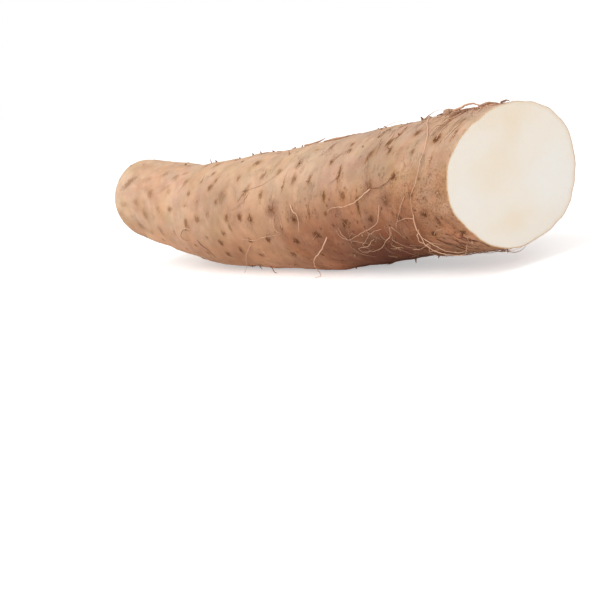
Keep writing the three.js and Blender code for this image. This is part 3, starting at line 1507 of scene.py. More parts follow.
@dataclass(frozen=True)
class TuberBody:
    """The skin, as one closed shell, and the flesh that shows in the cut.

    Attributes:
        mould: Reads the form off the solid.
        relief: The skin's low relief.
        scars: The root scars.
        skin_depth: Thickness of the skin's edge at the cut.
        socket_depth: How deep the flesh's slab sits in the skin's shell.
        flesh_gap: Gap between the slab and the skin's edge.
        floor_gap: Gap between the slab and the floor of its socket.
        ease: How far the slab's edge is drawn in where it is rounded over.
        ease_depth: How far down its wall the rounding starts.
        wave: Height of the unevenness that the knife left.
        wave_rate: How many of its waves there are to a metre.
        flesh_rings: Sizes of the flesh's rings, as shares of the face's.
        skin_crease: Sharpest edge that still shades smooth on the skin.
        flesh_crease: The same on the flesh.
    """

    mould: TuberMould = TuberMould()
    relief: Relief = Relief()
    scars: ScarField = ScarField()
    skin_depth: float = 0.3
    socket_depth: float = 1.2
    flesh_gap: float = 0.02
    floor_gap: float = 0.05
    ease: float = 0.13
    ease_depth: float = 0.12
    wave: float = 0.12
    wave_rate: float = 55.0
    flesh_rings: tuple[float, ...] = (0.99, 0.975, 0.95, 0.9, 0.82, 0.7, 0.55, 0.4, 0.25, 0.12)
    skin_crease: float = 50.0
    flesh_crease: float = 60.0

    def shape(self) -> tuple[SkinGrid, list[Scar], Array, Array]:
        """Work out the skin with its relief.

        Returns:
            The finished grid, its scars, and how far off each point is from a scar and that scar's look.
        """
        grid = self.mould.read()
        scars = self.scars.scatter()
        offs, looks, heights = self.scars.lie_of(grid, scars)
        for here in np.ndindex(heights.shape):
            heights[here] += self.relief.height(Vector(grid.place[here]))
        heights[0] = heights[0].mean()
        points = grid.points + grid.outward * (heights * MM)[:, :, None]
        normal = np.array(grid.cut_normal)
        past_cut = (points[-1] - np.array(grid.cut_centre)) @ normal
        points[-1] -= past_cut[:, None] * normal
        points[:, :, 2] = np.maximum(points[:, :, 2], 0.0)
        return replace(grid, points=points, outward=TuberMould.normals(points)), scars, offs, looks

    def skin(self, grid: SkinGrid, offs: Array, looks: Array) -> Piece:
        """Make the skin, which is closed at the nose and at the cut folds in to the floor of its socket.

        Args:
            grid: The finished grid.
            offs: Each point's distance from a scar.
            looks: The scars' looks.

        Returns:
            The skin's piece.
        """
        rim = grid.points[-1]
        normal, centre = np.array(grid.cut_normal), rim.mean(axis=0)
        inward = centre - rim
        inward /= np.linalg.norm(inward, axis=1, keepdims=True)
        lip = rim + inward * self.skin_depth * MM
        down = normal * self.socket_depth * MM
        rings = [*grid.points[1:], lip, lip - down]
        piece, corners = shell("skin", grid.points[0, 0], rings, centre - down)
        for mark, values in ((Mark.PLACE, grid.place), (Mark.SCAR_OFF, offs), (Mark.SCAR_LOOK, looks)):
            rim_values = [values[-1], values[-1], values[-1, :1]]
            carry(piece.data, mark, np.concatenate([values[0, :1], *values[1:], *rim_values]))
        carry(piece.data, Mark.FROM_CUT, (centre - corners) @ normal / MM)
        piece.data.set_sharp_from_angle(angle=math.radians(self.skin_crease))
        return piece

    def flesh(self, grid: SkinGrid) -> Piece:
        """Make the slab of flesh that shows in the cut.

        Args:
            grid: The finished grid.

        Returns:
            The flesh's piece.
        """
        normal, centre = np.array(grid.cut_normal), grid.points[-1].mean(axis=0)
        spokes = grid.points[-1] - centre
        reach = np.linalg.norm(spokes, axis=1, keepdims=True)
        outer = spokes * (1 - (self.skin_depth + self.flesh_gap) * MM / reach)
        eased = spokes * (1 - (self.skin_depth + self.flesh_gap + self.ease) * MM / reach)
        below = centre - normal * (self.socket_depth - self.floor_gap) * MM
        levels = [below + outer, centre - normal * self.ease_depth * MM + outer, centre + eased]
        levels += [self._waved(centre + eased * share, normal, share) for share in self.flesh_rings]
        piece, corners = shell("cut_face", below, levels, centre)
        across = (Vector((0, 1, 0)) - grid.cut_normal * grid.cut_normal.y).normalized()
        axes = np.array([grid.cut_normal, across, grid.cut_normal.cross(across)])
        local = corners - centre
        carry(piece.data, Mark.PLACE, local @ axes.T / MM)
        reaches = np.concatenate([[RADIUS * MM], *[reach[:, 0]] * len(levels), [RADIUS * MM]])
        inside = reaches - np.linalg.norm(local - np.outer(local @ normal, normal), axis=1)
        carry(piece.data, Mark.FROM_CUT, inside / MM - self.skin_depth)
        piece.data.set_sharp_from_angle(angle=math.radians(self.flesh_crease))
        return piece

    def _waved(self, ring: Array, normal: Array, share: float) -> Array:
        """Give a ring of the flesh the knife's waves, which die out as its share of the face nears 1."""
        wave = np.array([noise.noise(Vector(point) * self.wave_rate) for point in ring])
        return ring + normal * (wave * self.wave * MM * (1 - share ** 6))[:, None]


# ---- roots and earth ----


@dataclass(frozen=True)
class HairRoot:
    """One hair root, as the places that it passes over.

    Attributes:
        way: Each place as its distance from the nose, its turn, and its height above the skin.
        girth: Thickness at its start.
        tone: 0 for a dark brown root, 1 for a pale one.
        wander: How far it strays from an even curve.
    """

    MM_A_DEGREE = 0.52
    DEGREES_A_MM = 1.9
    STRAY_RATE = 0.4  # how fast it strays, to a millimetre of its length
    TAPER = 0.7  # share of its thickness that is gone at its end

    way: tuple[Triple, ...]
    girth: float = 0.38
    tone: float = 0.8
    wander: float = 0.35

    def _curve(self, step: float) -> list[Vector]:
        """Draw an even curve through its places.

        Args:
            step: Distance between two of its points.

        Returns:
            The curve's points, as places.
        """
        ends = [Vector(place) for place in self.way]
        padded = [ends[0] * 2 - ends[1], *ends, ends[-1] * 2 - ends[-2]]
        points = []
        for before, start, end, after in zip(padded, padded[1:], padded[2:], padded[3:]):
            along, turned, lifted = end - start
            count = max(2, round(Vector((along, turned * self.MM_A_DEGREE, lifted)).length / step))
            for part in range(count):
                share = part / count
                point = start.lerp(end, 3 * share ** 2 - 2 * share ** 3)
                point += (end - before) * 0.5 * (share - 2 * share ** 2 + share ** 3)
                points.append(point + (after - start) * 0.5 * (share ** 3 - share ** 2))
        return [*points, ends[-1]]

    def trace(self, grid: SkinGrid, step: float = 1.0) -> Traced:
        """Lay the root over the skin.

        Args:
            grid: The skin.
            step: Distance between two of its points.

        Returns:
            Its points in metres, its radius at each of them, and its tone.
        """
        start_along, start_turn, _ = self.way[0]
        places = self._curve(step)
        laid, radii = [], []
        for index, place in enumerate(places):
            seed = Vector((start_along, start_turn, index * step * self.STRAY_RATE))
            stray = noise.turbulence_vector(seed, 2, False) * self.wander * min(1.0, index / 3)
            radius = self.girth / 2 * (1.0 - self.TAPER * (index / (len(places) - 1)) ** 1.5)
            lift = max(place.z + abs(stray.z), radius * 0.3)
            point = grid.spot(place.x + stray.x, place.y + stray.y * self.DEGREES_A_MM, lift)
            point.z = max(point.z, (radius + OFF_FLOOR) * MM)
            laid.append(point)
            radii.append(radius * MM)
        return laid, radii, self.tone


@dataclass(frozen=True)
class RootBed:
    """What the roots grow on and are made with: the skin, its scars, the tube tree and their material."""

    grid: SkinGrid
    scars: Sequence[Scar]
    tubes: GeometryRule
    finish: Material

    def grow(self, name: str, roots: Iterable[Traced], sides: int) -> Piece:
        """Make one piece of traced roots.

        Args:
            name: The piece's name.
            roots: The roots.
            sides: Sides of a root's section.

        Returns:
            The piece.
        """
        corners: list[Vector] = []
        edges: list[tuple[int, int]] = []
        girths: list[float] = []
        tones: list[float] = []
        for points, radii, tone in roots:
            start = len(corners)
            corners += points
            girths += radii
            tones += [tone] * len(points)
            edges += [(start + index, start + index + 1) for index in range(len(points) - 1)]
        mesh = bpy.data.meshes.new(name)
        mesh.from_pydata(corners, edges, [])
        carry(mesh, Mark.GIRTH, girths)
        carry(mesh, Mark.TONE, tones)
        return self.tubes.apply(name, mesh, sides, self.finish)


@dataclass(frozen=True)
class LooseRoots:
    """Hair roots that curl over the skin, each where it grew, with so many sides to their section."""

    name: str
    roots: tuple[HairRoot, ...]
    sides: int = 6

    def build(self, bed: RootBed) -> Piece:
        """Make the piece on its bed."""
        return bed.grow(self.name, [root.trace(bed.grid) for root in self.roots], self.sides)


@dataclass(frozen=True)
class FineHairs:
    """Short fine hair roots all over, each growing out of a scar.

    Attributes:
        name: The piece's name.
        count: How many are tried, of which few grow near the nose.
        length: Shortest and longest.
        girth: Thickest start.
        sides: Sides of a hair's section.
        steps: Places that a hair passes over.
        rise: Highest that a hair's end stands off the skin.
        margins: How near a hair comes to the nose's tip, and to the cut.
        thick_from: Distance from the nose where they grow densest and longest.
        seed: Seed of the random draws.
    """

    name: str = "fine_hairs"
    count: int = 330
    length: Pair = (2.5, 13.0)
    girth: float = 0.32
    sides: int = 4
    steps: int = 4
    rise: float = 2.2
    margins: Pair = (1.0, 3.0)
    thick_from: float = 230.0
    seed: int = 5

    def build(self, bed: RootBed) -> Piece:
        """Make the piece.

        Args:
            bed: What the hairs grow on.

        Returns:
            The piece.
        """
        draw = Random(self.seed)
        shortest, longest = self.length
        traced = []
        for _ in range(self.count):
            scar = draw.choice(bed.scars)
            thick_end = min(1.0, scar.along / self.thick_from)
            if draw.random() <= 0.12 + 0.88 * thick_end ** 2:
                length = shortest + (longest - shortest) * draw.random() ** 2.2 * (0.4 + 0.6 * thick_end)
                hair = self._hair(draw, scar, length)
                traced.append(hair.trace(bed.grid, max(0.8, length / 9)))
        return bed.grow(self.name, traced, self.sides)

    def _hair(self, draw: Random, scar: Scar, length: float) -> HairRoot:
        """Draw one hair.

        Args:
            draw: The random numbers.
            scar: The scar that it grows from.
            length: Its length.

        Returns:
            The hair.
        """
        heading = draw.choice((-1, 1)) * math.pi / 2 + draw.gauss(0.0, 0.7)
        curl = draw.gauss(0.0, 0.35)
        rise = self.rise * draw.random() ** 1.5 * min(1.0, length / 6.0)
        along, turn = scar.along, scar.turn
        places = [(along, turn, 0.0)]
        for step in range(1, self.steps + 1):
            along += math.cos(heading) * length / self.steps
            turn += degrees_round(math.sin(heading) * length / self.steps)
            heading += curl + draw.gauss(0.0, 0.2)
            along = min(max(along, self.margins[0]), LENGTH - self.margins[1])
            places.append((along, turn, rise * (step / self.steps) ** 1.4))
        return HairRoot(tuple(places), draw.uniform(0.5, 1.0) * self.girth, draw.uniform(0.35, 1.0), 0.2)


@dataclass(frozen=True)
class RootStubs:
    """Broken stubs of hair roots, standing up out of the scars like short bristles.

    Attributes:
        name: The piece's name.
        share: Share of the scars on the thick part that have one.
        most_from: Distance from the nose where they have them as often as that.
        longest_from: Distance from the nose where they stand at their full length.
        length: Shortest and longest on the thick part.
        girth: Thickness of the stoutest at its foot.
        sunk: How deep its foot stands in the skin.
        lean: How far they lean, as a share of straight up.
        bend_rate: How fast their bend changes from place to place, to a metre.
        sides: Sides of a stub's section.
        steps: Lengths that a stub is made of.
        palest: Tone of the palest.
        seed: Seed of the random draws.
        chosen: More stubs, each with its distance from the nose, turn, length and thickness.
    """

    name: str = "root_stubs"
    share: float = 0.45
    most_from: float = 170.0
    longest_from: float = 200.0
    length: Pair = (0.8, 2.4)
    girth: float = 1.4
    sunk: float = 0.15
    lean: float = 0.5
    bend_rate: float = 400.0
    sides: int = 5
    steps: int = 3
    palest: float = 0.45
    seed: int = 8
    chosen: tuple[tuple[float, float, float, float], ...] = ()

    def build(self, bed: RootBed) -> Piece:
        """Make the piece.

        Args:
            bed: What the stubs grow on.

        Returns:
            The piece.
        """
        draw = Random(self.seed)
        shortest, longest = self.length
        stubs = list(self.chosen)
        for scar in bed.scars:
            if draw.random() <= self.share * min(1.0, scar.along / self.most_from) ** 1.5:
                growth = 0.45 + 0.55 * min(1.0, scar.along / self.longest_from)
                length = growth * (shortest + (longest - shortest) * draw.random() ** 2.0)
                stubs.append((scar.along, scar.turn, length, self.girth * growth * draw.uniform(0.5, 1.0)))
        return bed.grow(self.name, [self._stub(draw, bed.grid, stub) for stub in stubs], self.sides)

    def _stub(self, draw: Random, grid: SkinGrid, stub: Sequence[float]) -> Traced:
        """Stand one stub up.

        Args:
            draw: The random numbers.
            grid: The skin.
            stub: Its distance from the nose, turn, length and thickness.

        Returns:
            The stub.
        """
        along, turn, length, girth = stub
        lean = Vector([draw.gauss(0.0, self.lean) for _ in "xyz"])
        foot = grid.spot(along, turn, -self.sunk)
        way = (grid.normal(along, turn) + lean).normalized()
        bend = noise.noise_vector(foot * self.bend_rate) * 0.5
        points, radii = [], []
        for step in range(self.steps + 1):
            share = step / self.steps
            point = foot + (way + bend * share) * (length * share) * MM
            radius = girth / 2 * (1 - 0.6 * share)
            point.z = max(point.z, (radius + OFF_FLOOR) * MM)
            points.append(point)
            radii.append(radius * MM)
        return points, radii, draw.uniform(0.0, self.palest)


@dataclass(frozen=True)
class MattedRoots:
    """A patch where dead dark roots lie matted on the skin, all about one way.

    Attributes:
        along: From and to.
        turn: From and to.
        count: How many strands there are.
        heading: Their way, off the tuber's length.
        spread: How far their ways differ.
        length: Shortest and longest.
        girth: Thickest.
        lift: Highest that one arches off the skin.
        tone: Darkest and palest.
        seed: Seed of the random draws.
    """

    STEPS = 4
    MARGIN = 1.0  # how near a strand comes to the cut

    along: Pair
    turn: Pair
    count: int
    heading: float
    spread: float
    length: Pair
    girth: float
    lift: float
    tone: Pair
    seed: int

    def strands(self) -> list[HairRoot]:
        """Draw the strands."""
        draw = Random(self.seed)
        return [self._strand(draw) for _ in range(self.count)]

    def _strand(self, draw: Random) -> HairRoot:
        """Draw one strand.

        Args:
            draw: The random numbers.

        Returns:
            The strand.
        """
        along, turn = draw.uniform(*self.along), draw.uniform(*self.turn)
        heading = math.radians(self.heading + draw.gauss(0.0, self.spread))
        length = draw.uniform(*self.length)
        lift = self.lift * draw.random()
        curl = draw.gauss(0.0, 0.12)
        places = [(along, turn, 0.0)]
        for step in range(1, self.STEPS + 1):
            along = min(along + math.cos(heading) * length / self.STEPS, LENGTH - self.MARGIN)
            turn += degrees_round(math.sin(heading) * length / self.STEPS)
            heading += curl
            places.append((along, turn, lift * math.sin(math.pi * step / self.STEPS)))
        return HairRoot(tuple(places), self.girth * draw.uniform(0.5, 1.0), draw.uniform(*self.tone), 0.25)


@dataclass(frozen=True)
class Crumbs:
    """Crumbs of dry earth caught in the roots.

    Attributes:
        heaps: Where they lie: along, turn, spread, how many, and size.
        margin: How near they come to the cut.
        lumps: How far a crumb's lumps stand out at most.
        seed: Seed of the random draws.
        name: The piece's name.
    """

    heaps: tuple[tuple[float, float, float, int, float], ...]
    margin: float = 4.0
    lumps: float = 0.6
    seed: int = 21
    name: str = "earth_crumbs"

    def build(self, grid: SkinGrid, rule: GeometryRule, material: Material) -> Piece:
        """Make the piece.

        Args:
            grid: The skin.
            rule: The crumb tree.
            material: The earth's finish.

        Returns:
            The piece.
        """
        draw = Random(self.seed)
        corners, sizes, tones = [], [], []
        for along, turn, spread, count, size in self.heaps:
            for _ in range(count):
                place = min(along + draw.gauss(0.0, spread), LENGTH - self.margin)
                round_by = degrees_round(draw.gauss(0.0, spread))
                radius = size * draw.uniform(0.35, 1.0) / 2
                corner = grid.spot(place, turn + round_by, radius * 0.35)
                corner.z = max(corner.z, (radius * 1.3 + self.lumps) * MM)
                corners.append(corner)
                sizes.append(radius * MM)
                tones.append(draw.uniform(0.2, 1.0))
        mesh = bpy.data.meshes.new(self.name)
        mesh.from_pydata(corners, [], [])
        carry(mesh, Mark.GIRTH, sizes)
        carry(mesh, Mark.TONE, tones)
        return rule.apply(self.name, mesh, self.seed, material)


# ---- studio ----


@dataclass(frozen=True)
class Lamp:
    """A soft square lamp, with its place and side in metres and its power in watts."""

    name: str
    place: Triple
    size: float
    power: float
    colour: Triple = (1.0, 1.0, 1.0)

    def hang(self, target: Vector) -> None:
        """Make the lamp and aim it.

        Args:
            target: What it is aimed at.
        """
        data = bpy.data.lights.new(self.name, "AREA")
        data.shape = "SQUARE"
        data.size = self.size
        data.energy = self.power
        data.color = self.colour
        place = Vector(self.place)
        linked(self.name, data, place, (target - place).to_track_quat("-Z", "Y"))


@dataclass(frozen=True)
class Studio:
    """The floor, the light and the camera.

    Attributes:
        floor_half: Half of the floor's side, in metres.
        ambient: Strength of the light from all round.
        ambient_colour: Its colour.
        lamps: The lamps.
        lens: The lens's length.
        frame_width: Width of the frame behind the lens.
        sight: Nearest and farthest that the camera sees, in metres.
        stand: Where the camera stands.
        heading: How far it is turned to the left of straight ahead.
        dip: How far it looks down.
        roll: How far it is rolled.
    """

    floor_half: float = 6.0
    ambient: float = 0.66
    ambient_colour: Paint = (1.0, 0.99, 0.98, 1.0)
    lamps: tuple[Lamp, ...] = (
        Lamp("key", (-0.25, -0.75, 1.15), 0.9, 7.4, (1.0, 0.985, 0.96)),
        Lamp("face_fill", (1.15, -0.75, 0.42), 0.9, 6.0, (0.98, 0.99, 1.0)),
    )
    lens: float = 72.0
    frame_width: float = 36.0
    sight: Pair = (0.01, 50.0)
    stand: Triple = (476.4, -360.7, 115.3)
    heading: float = 53.73
    dip: float = 12.49
    roll: float = -13.58

    def build(self) -> None:
        """Set the whole studio up."""
        self._floor()
        self._world()
        low, high = CAD_BOX
        for lamp in self.lamps:
            lamp.hang((low + high) / 2)
        self._camera()
        bpy.context.scene.view_settings.view_transform = "Standard"

    def _floor(self) -> None:
        """Lay the floor."""
        half = self.floor_half
        corners = np.array([(-half, -half, 0.0), (half, -half, 0.0), (half, half, 0.0), (-half, half, 0.0)])
        floor = new_piece("studio_floor", corners, [(0, 1, 2, 3)])
        floor.data.materials.append(FloorFinish().build())

    def _world(self) -> None:
        """Light the room, and keep its backdrop white."""
        world = bpy.data.worlds.new("studio")
        world.use_nodes = True
        world.node_tree.nodes.clear()
        write = TreeWriter(world.node_tree)
        rays = write.add("ShaderNodeLightPath").outputs
        shown = write.math("MAXIMUM", rays["Is Camera Ray"], rays["Is Glossy Ray"])
        shown = write.math("MAXIMUM", shown, rays["Is Transmission Ray"])
        light = write.add("ShaderNodeBackground", {"Color": self.ambient_colour, "Strength": self.ambient})
        backdrop = write.add("ShaderNodeBackground", {"Color": (1.0, 1.0, 1.0, 1.0), "Strength": 1.0})
        chosen = write.add("ShaderNodeMixShader", {0: shown, 1: light.outputs[0], 2: backdrop.outputs[0]})
        write.add("ShaderNodeOutputWorld", {"Surface": chosen.outputs[0]})
        bpy.context.scene.world = world

    def _camera(self) -> None:
        """Set the camera up."""
        data = bpy.data.cameras.new("camera")
        data.lens = self.lens
        data.sensor_width = self.frame_width
        data.clip_start, data.clip_end = self.sight
        turned = Quaternion((0, 0, 1), math.radians(self.heading))
        tipped = Quaternion((1, 0, 0), math.radians(90.0 - self.dip))
        rolled = Quaternion((0, 0, 1), math.radians(self.roll))
        bpy.context.scene.camera = linked("camera", data, Vector(self.stand) * MM, turned @ tipped @ rolled)


# ---- what grew where ----

# Each as its distance from the nose, turn, half length, half width, slant and darkness, and then its height
# and halo where they are its own.
CHOSEN_SCARS = (
    (27, 141, 5.6, 1.7, -42, 0.74, 0.12), (46, 130, 3.2, 1.3, -70, 0.30, 0.10),
    (54, 149, 1.8, 2.2, 0, 0.62), (47, 145, 1.6, 2.6, 10, 0.18, 0.05), (25, 174, 1.5, 2.6, 0, 0.42, 0.10),
    (19, 189, 1.4, 1.6, 0, 0.35, 0.10), (38, 168, 1.9, 1.8, 0, 0.50, 0.15),
    (47, 180, 2.1, 1.9, 0, 0.50, 0.15), (35, 204, 2.0, 2.0, 0, 0.40, 0.10, 0.6),
    (62, 194, 2.6, 1.7, 10, 0.50, 0.15), (65, 166, 1.6, 1.7, 0, 0.45, 0.15),
    (73, 142, 1.5, 1.6, 0, 0.32, 0.10), (80, 152, 1.2, 1.6, 0, 0.10, 0.05),
    (60, 117, 2.2, 1.7, -40, 0.50, 0.10), (69, 137, 3.2, 0.9, -50, 0.25, 0.05),
    (77, 113, 1.8, 1.2, -40, 0.40, 0.10), (72, 120, 1.7, 2.0, -50, 0.50, 0.20),
    (77, 162, 1.3, 1.5, 0, 0.78, 0.25), (87, 128, 1.6, 2.2, 0, 0.50, 0.15),
    (95, 157, 0.9, 4.0, 0, 0.22, 0.05), (108, 153, 3.4, 1.8, 0, 0.20, 0.10, 0.15),
    (95, 177, 2.3, 1.6, 8, 0.78), (97, 144, 1.2, 1.3, -15, 0.62), (107, 172, 1.8, 2.2, 0, 0.60),
    (118, 168, 1.7, 1.3, 0, 0.42), (106, 104, 1.6, 1.7, 0, 0.72, 0.40), (118, 140, 1.6, 1.7, 0, 0.80),
    (121, 133, 2.3, 1.2, -15, 0.60), (126, 156, 1.2, 1.6, 0, 0.50),
    (131, 151, 3.0, 2.9, 0, 0.42, 0.40, 0.15), (153, 148, 3.4, 1.5, -40, 0.50, 0.15),
    (122, 213, 1.7, 1.7, 0, 0.72), (123, 198, 1.5, 1.8, 0, 0.72), (129, 188, 1.3, 1.6, 0, 0.55),
    (135, 173, 1.6, 1.6, 10, 0.75), (137, 182, 2.4, 1.0, 20, 0.50, 0.10), (138, 207, 1.8, 1.7, 0, 0.78),
    (143, 135, 1.5, 1.6, 0, 0.55), (148, 172, 1.6, 1.7, 0, 0.90), (151, 117, 1.8, 2.2, 10, 0.70, 0.45),
    (151, 196, 1.3, 1.6, 0, 0.60), (152, 213, 1.3, 1.6, 0, 0.75), (156, 174, 1.5, 1.8, 0, 0.85),
    (166, 154, 1.5, 1.3, 0, 0.75), (175, 168, 2.1, 2.7, 0, 0.75, 0.50, 0.9),
    (179, 213, 1.5, 1.8, 0, 0.80), (189, 198, 1.6, 1.9, 0, 0.80, 0.30, 0.6),
    (192, 129, 2.0, 2.0, -20, 0.60), (209, 114, 2.4, 1.3, -10, 0.62),
    (193, 144, 1.9, 1.6, -12, 0.72, 0.30, 0.4), (194, 178, 1.9, 2.5, 0, 0.80, 0.50, 0.9),
    (205, 147, 2.1, 1.3, 0, 0.72), (205, 174, 3.0, 1.0, 0, 0.50, 0.10),
    (206, 195, 2.5, 1.5, 70, 0.90, 0.50, 0.9), (218, 164, 2.3, 1.2, 0, 0.90),
    (218, 178, 1.2, 1.3, 0, 0.85), (219, 135, 1.5, 1.5, 0, 0.60), (227, 120, 1.1, 1.3, -20, 0.80),
    (229, 128, 1.1, 1.3, -20, 0.80), (228, 148, 3.8, 1.1, 0, 0.88, 0.15),
    (230, 190, 2.4, 2.5, 0, 0.92, 0.60, 0.8), (232, 167, 2.2, 1.9, 0, 0.80),
    (242, 177, 5.0, 0.9, 0, 0.85, 0.10), (262, 177, 2.2, 2.0, 0, 0.70, 0.30, 0.9),
    (246, 138, 3.0, 1.4, -20, 0.80), (249, 190, 1.7, 2.0, 0, 0.75, 0.45, 0.9),
    (243, 109, 4.8, 1.2, 5, 0.70, 0.15), (251, 164, 2.1, 1.9, -60, 0.65, 0.30, 0.7),
    (251, 225, 1.3, 1.5, 0, 0.90), (255, 128, 2.0, 1.2, -15, 0.92), (259, 136, 2.3, 1.0, 0, 0.80, 0.15),
    (258, 121, 3.2, 1.1, 8, 0.65, 0.15), (268, 160, 1.8, 1.6, 0, 0.95, 0.45),
    (272, 124, 1.7, 1.4, 0, 0.78), (276, 142, 1.4, 1.2, 0, 0.50), (279, 176, 1.7, 1.5, 0, 0.65),
    (284, 193, 1.6, 1.8, 0, 0.90, 0.45), (287, 134, 1.9, 1.9, -40, 1.25, 0.45),
    (289, 202, 2.6, 1.1, 0, 0.75, 0.15), (285, 113, 7.0, 1.1, 0, 0.65, 0.20),
    (296, 132, 3.8, 0.6, 0, 0.80, 0.10), (294, 117, 1.9, 0.7, 0, 0.80, 0.10),
    (289, 151, 3.0, 0.7, 0, 0.60, 0.10), (295, 178, 1.5, 1.4, 0, 0.65),
    (297, 216, 1.4, 1.4, 0, 0.95, 0.50),
)

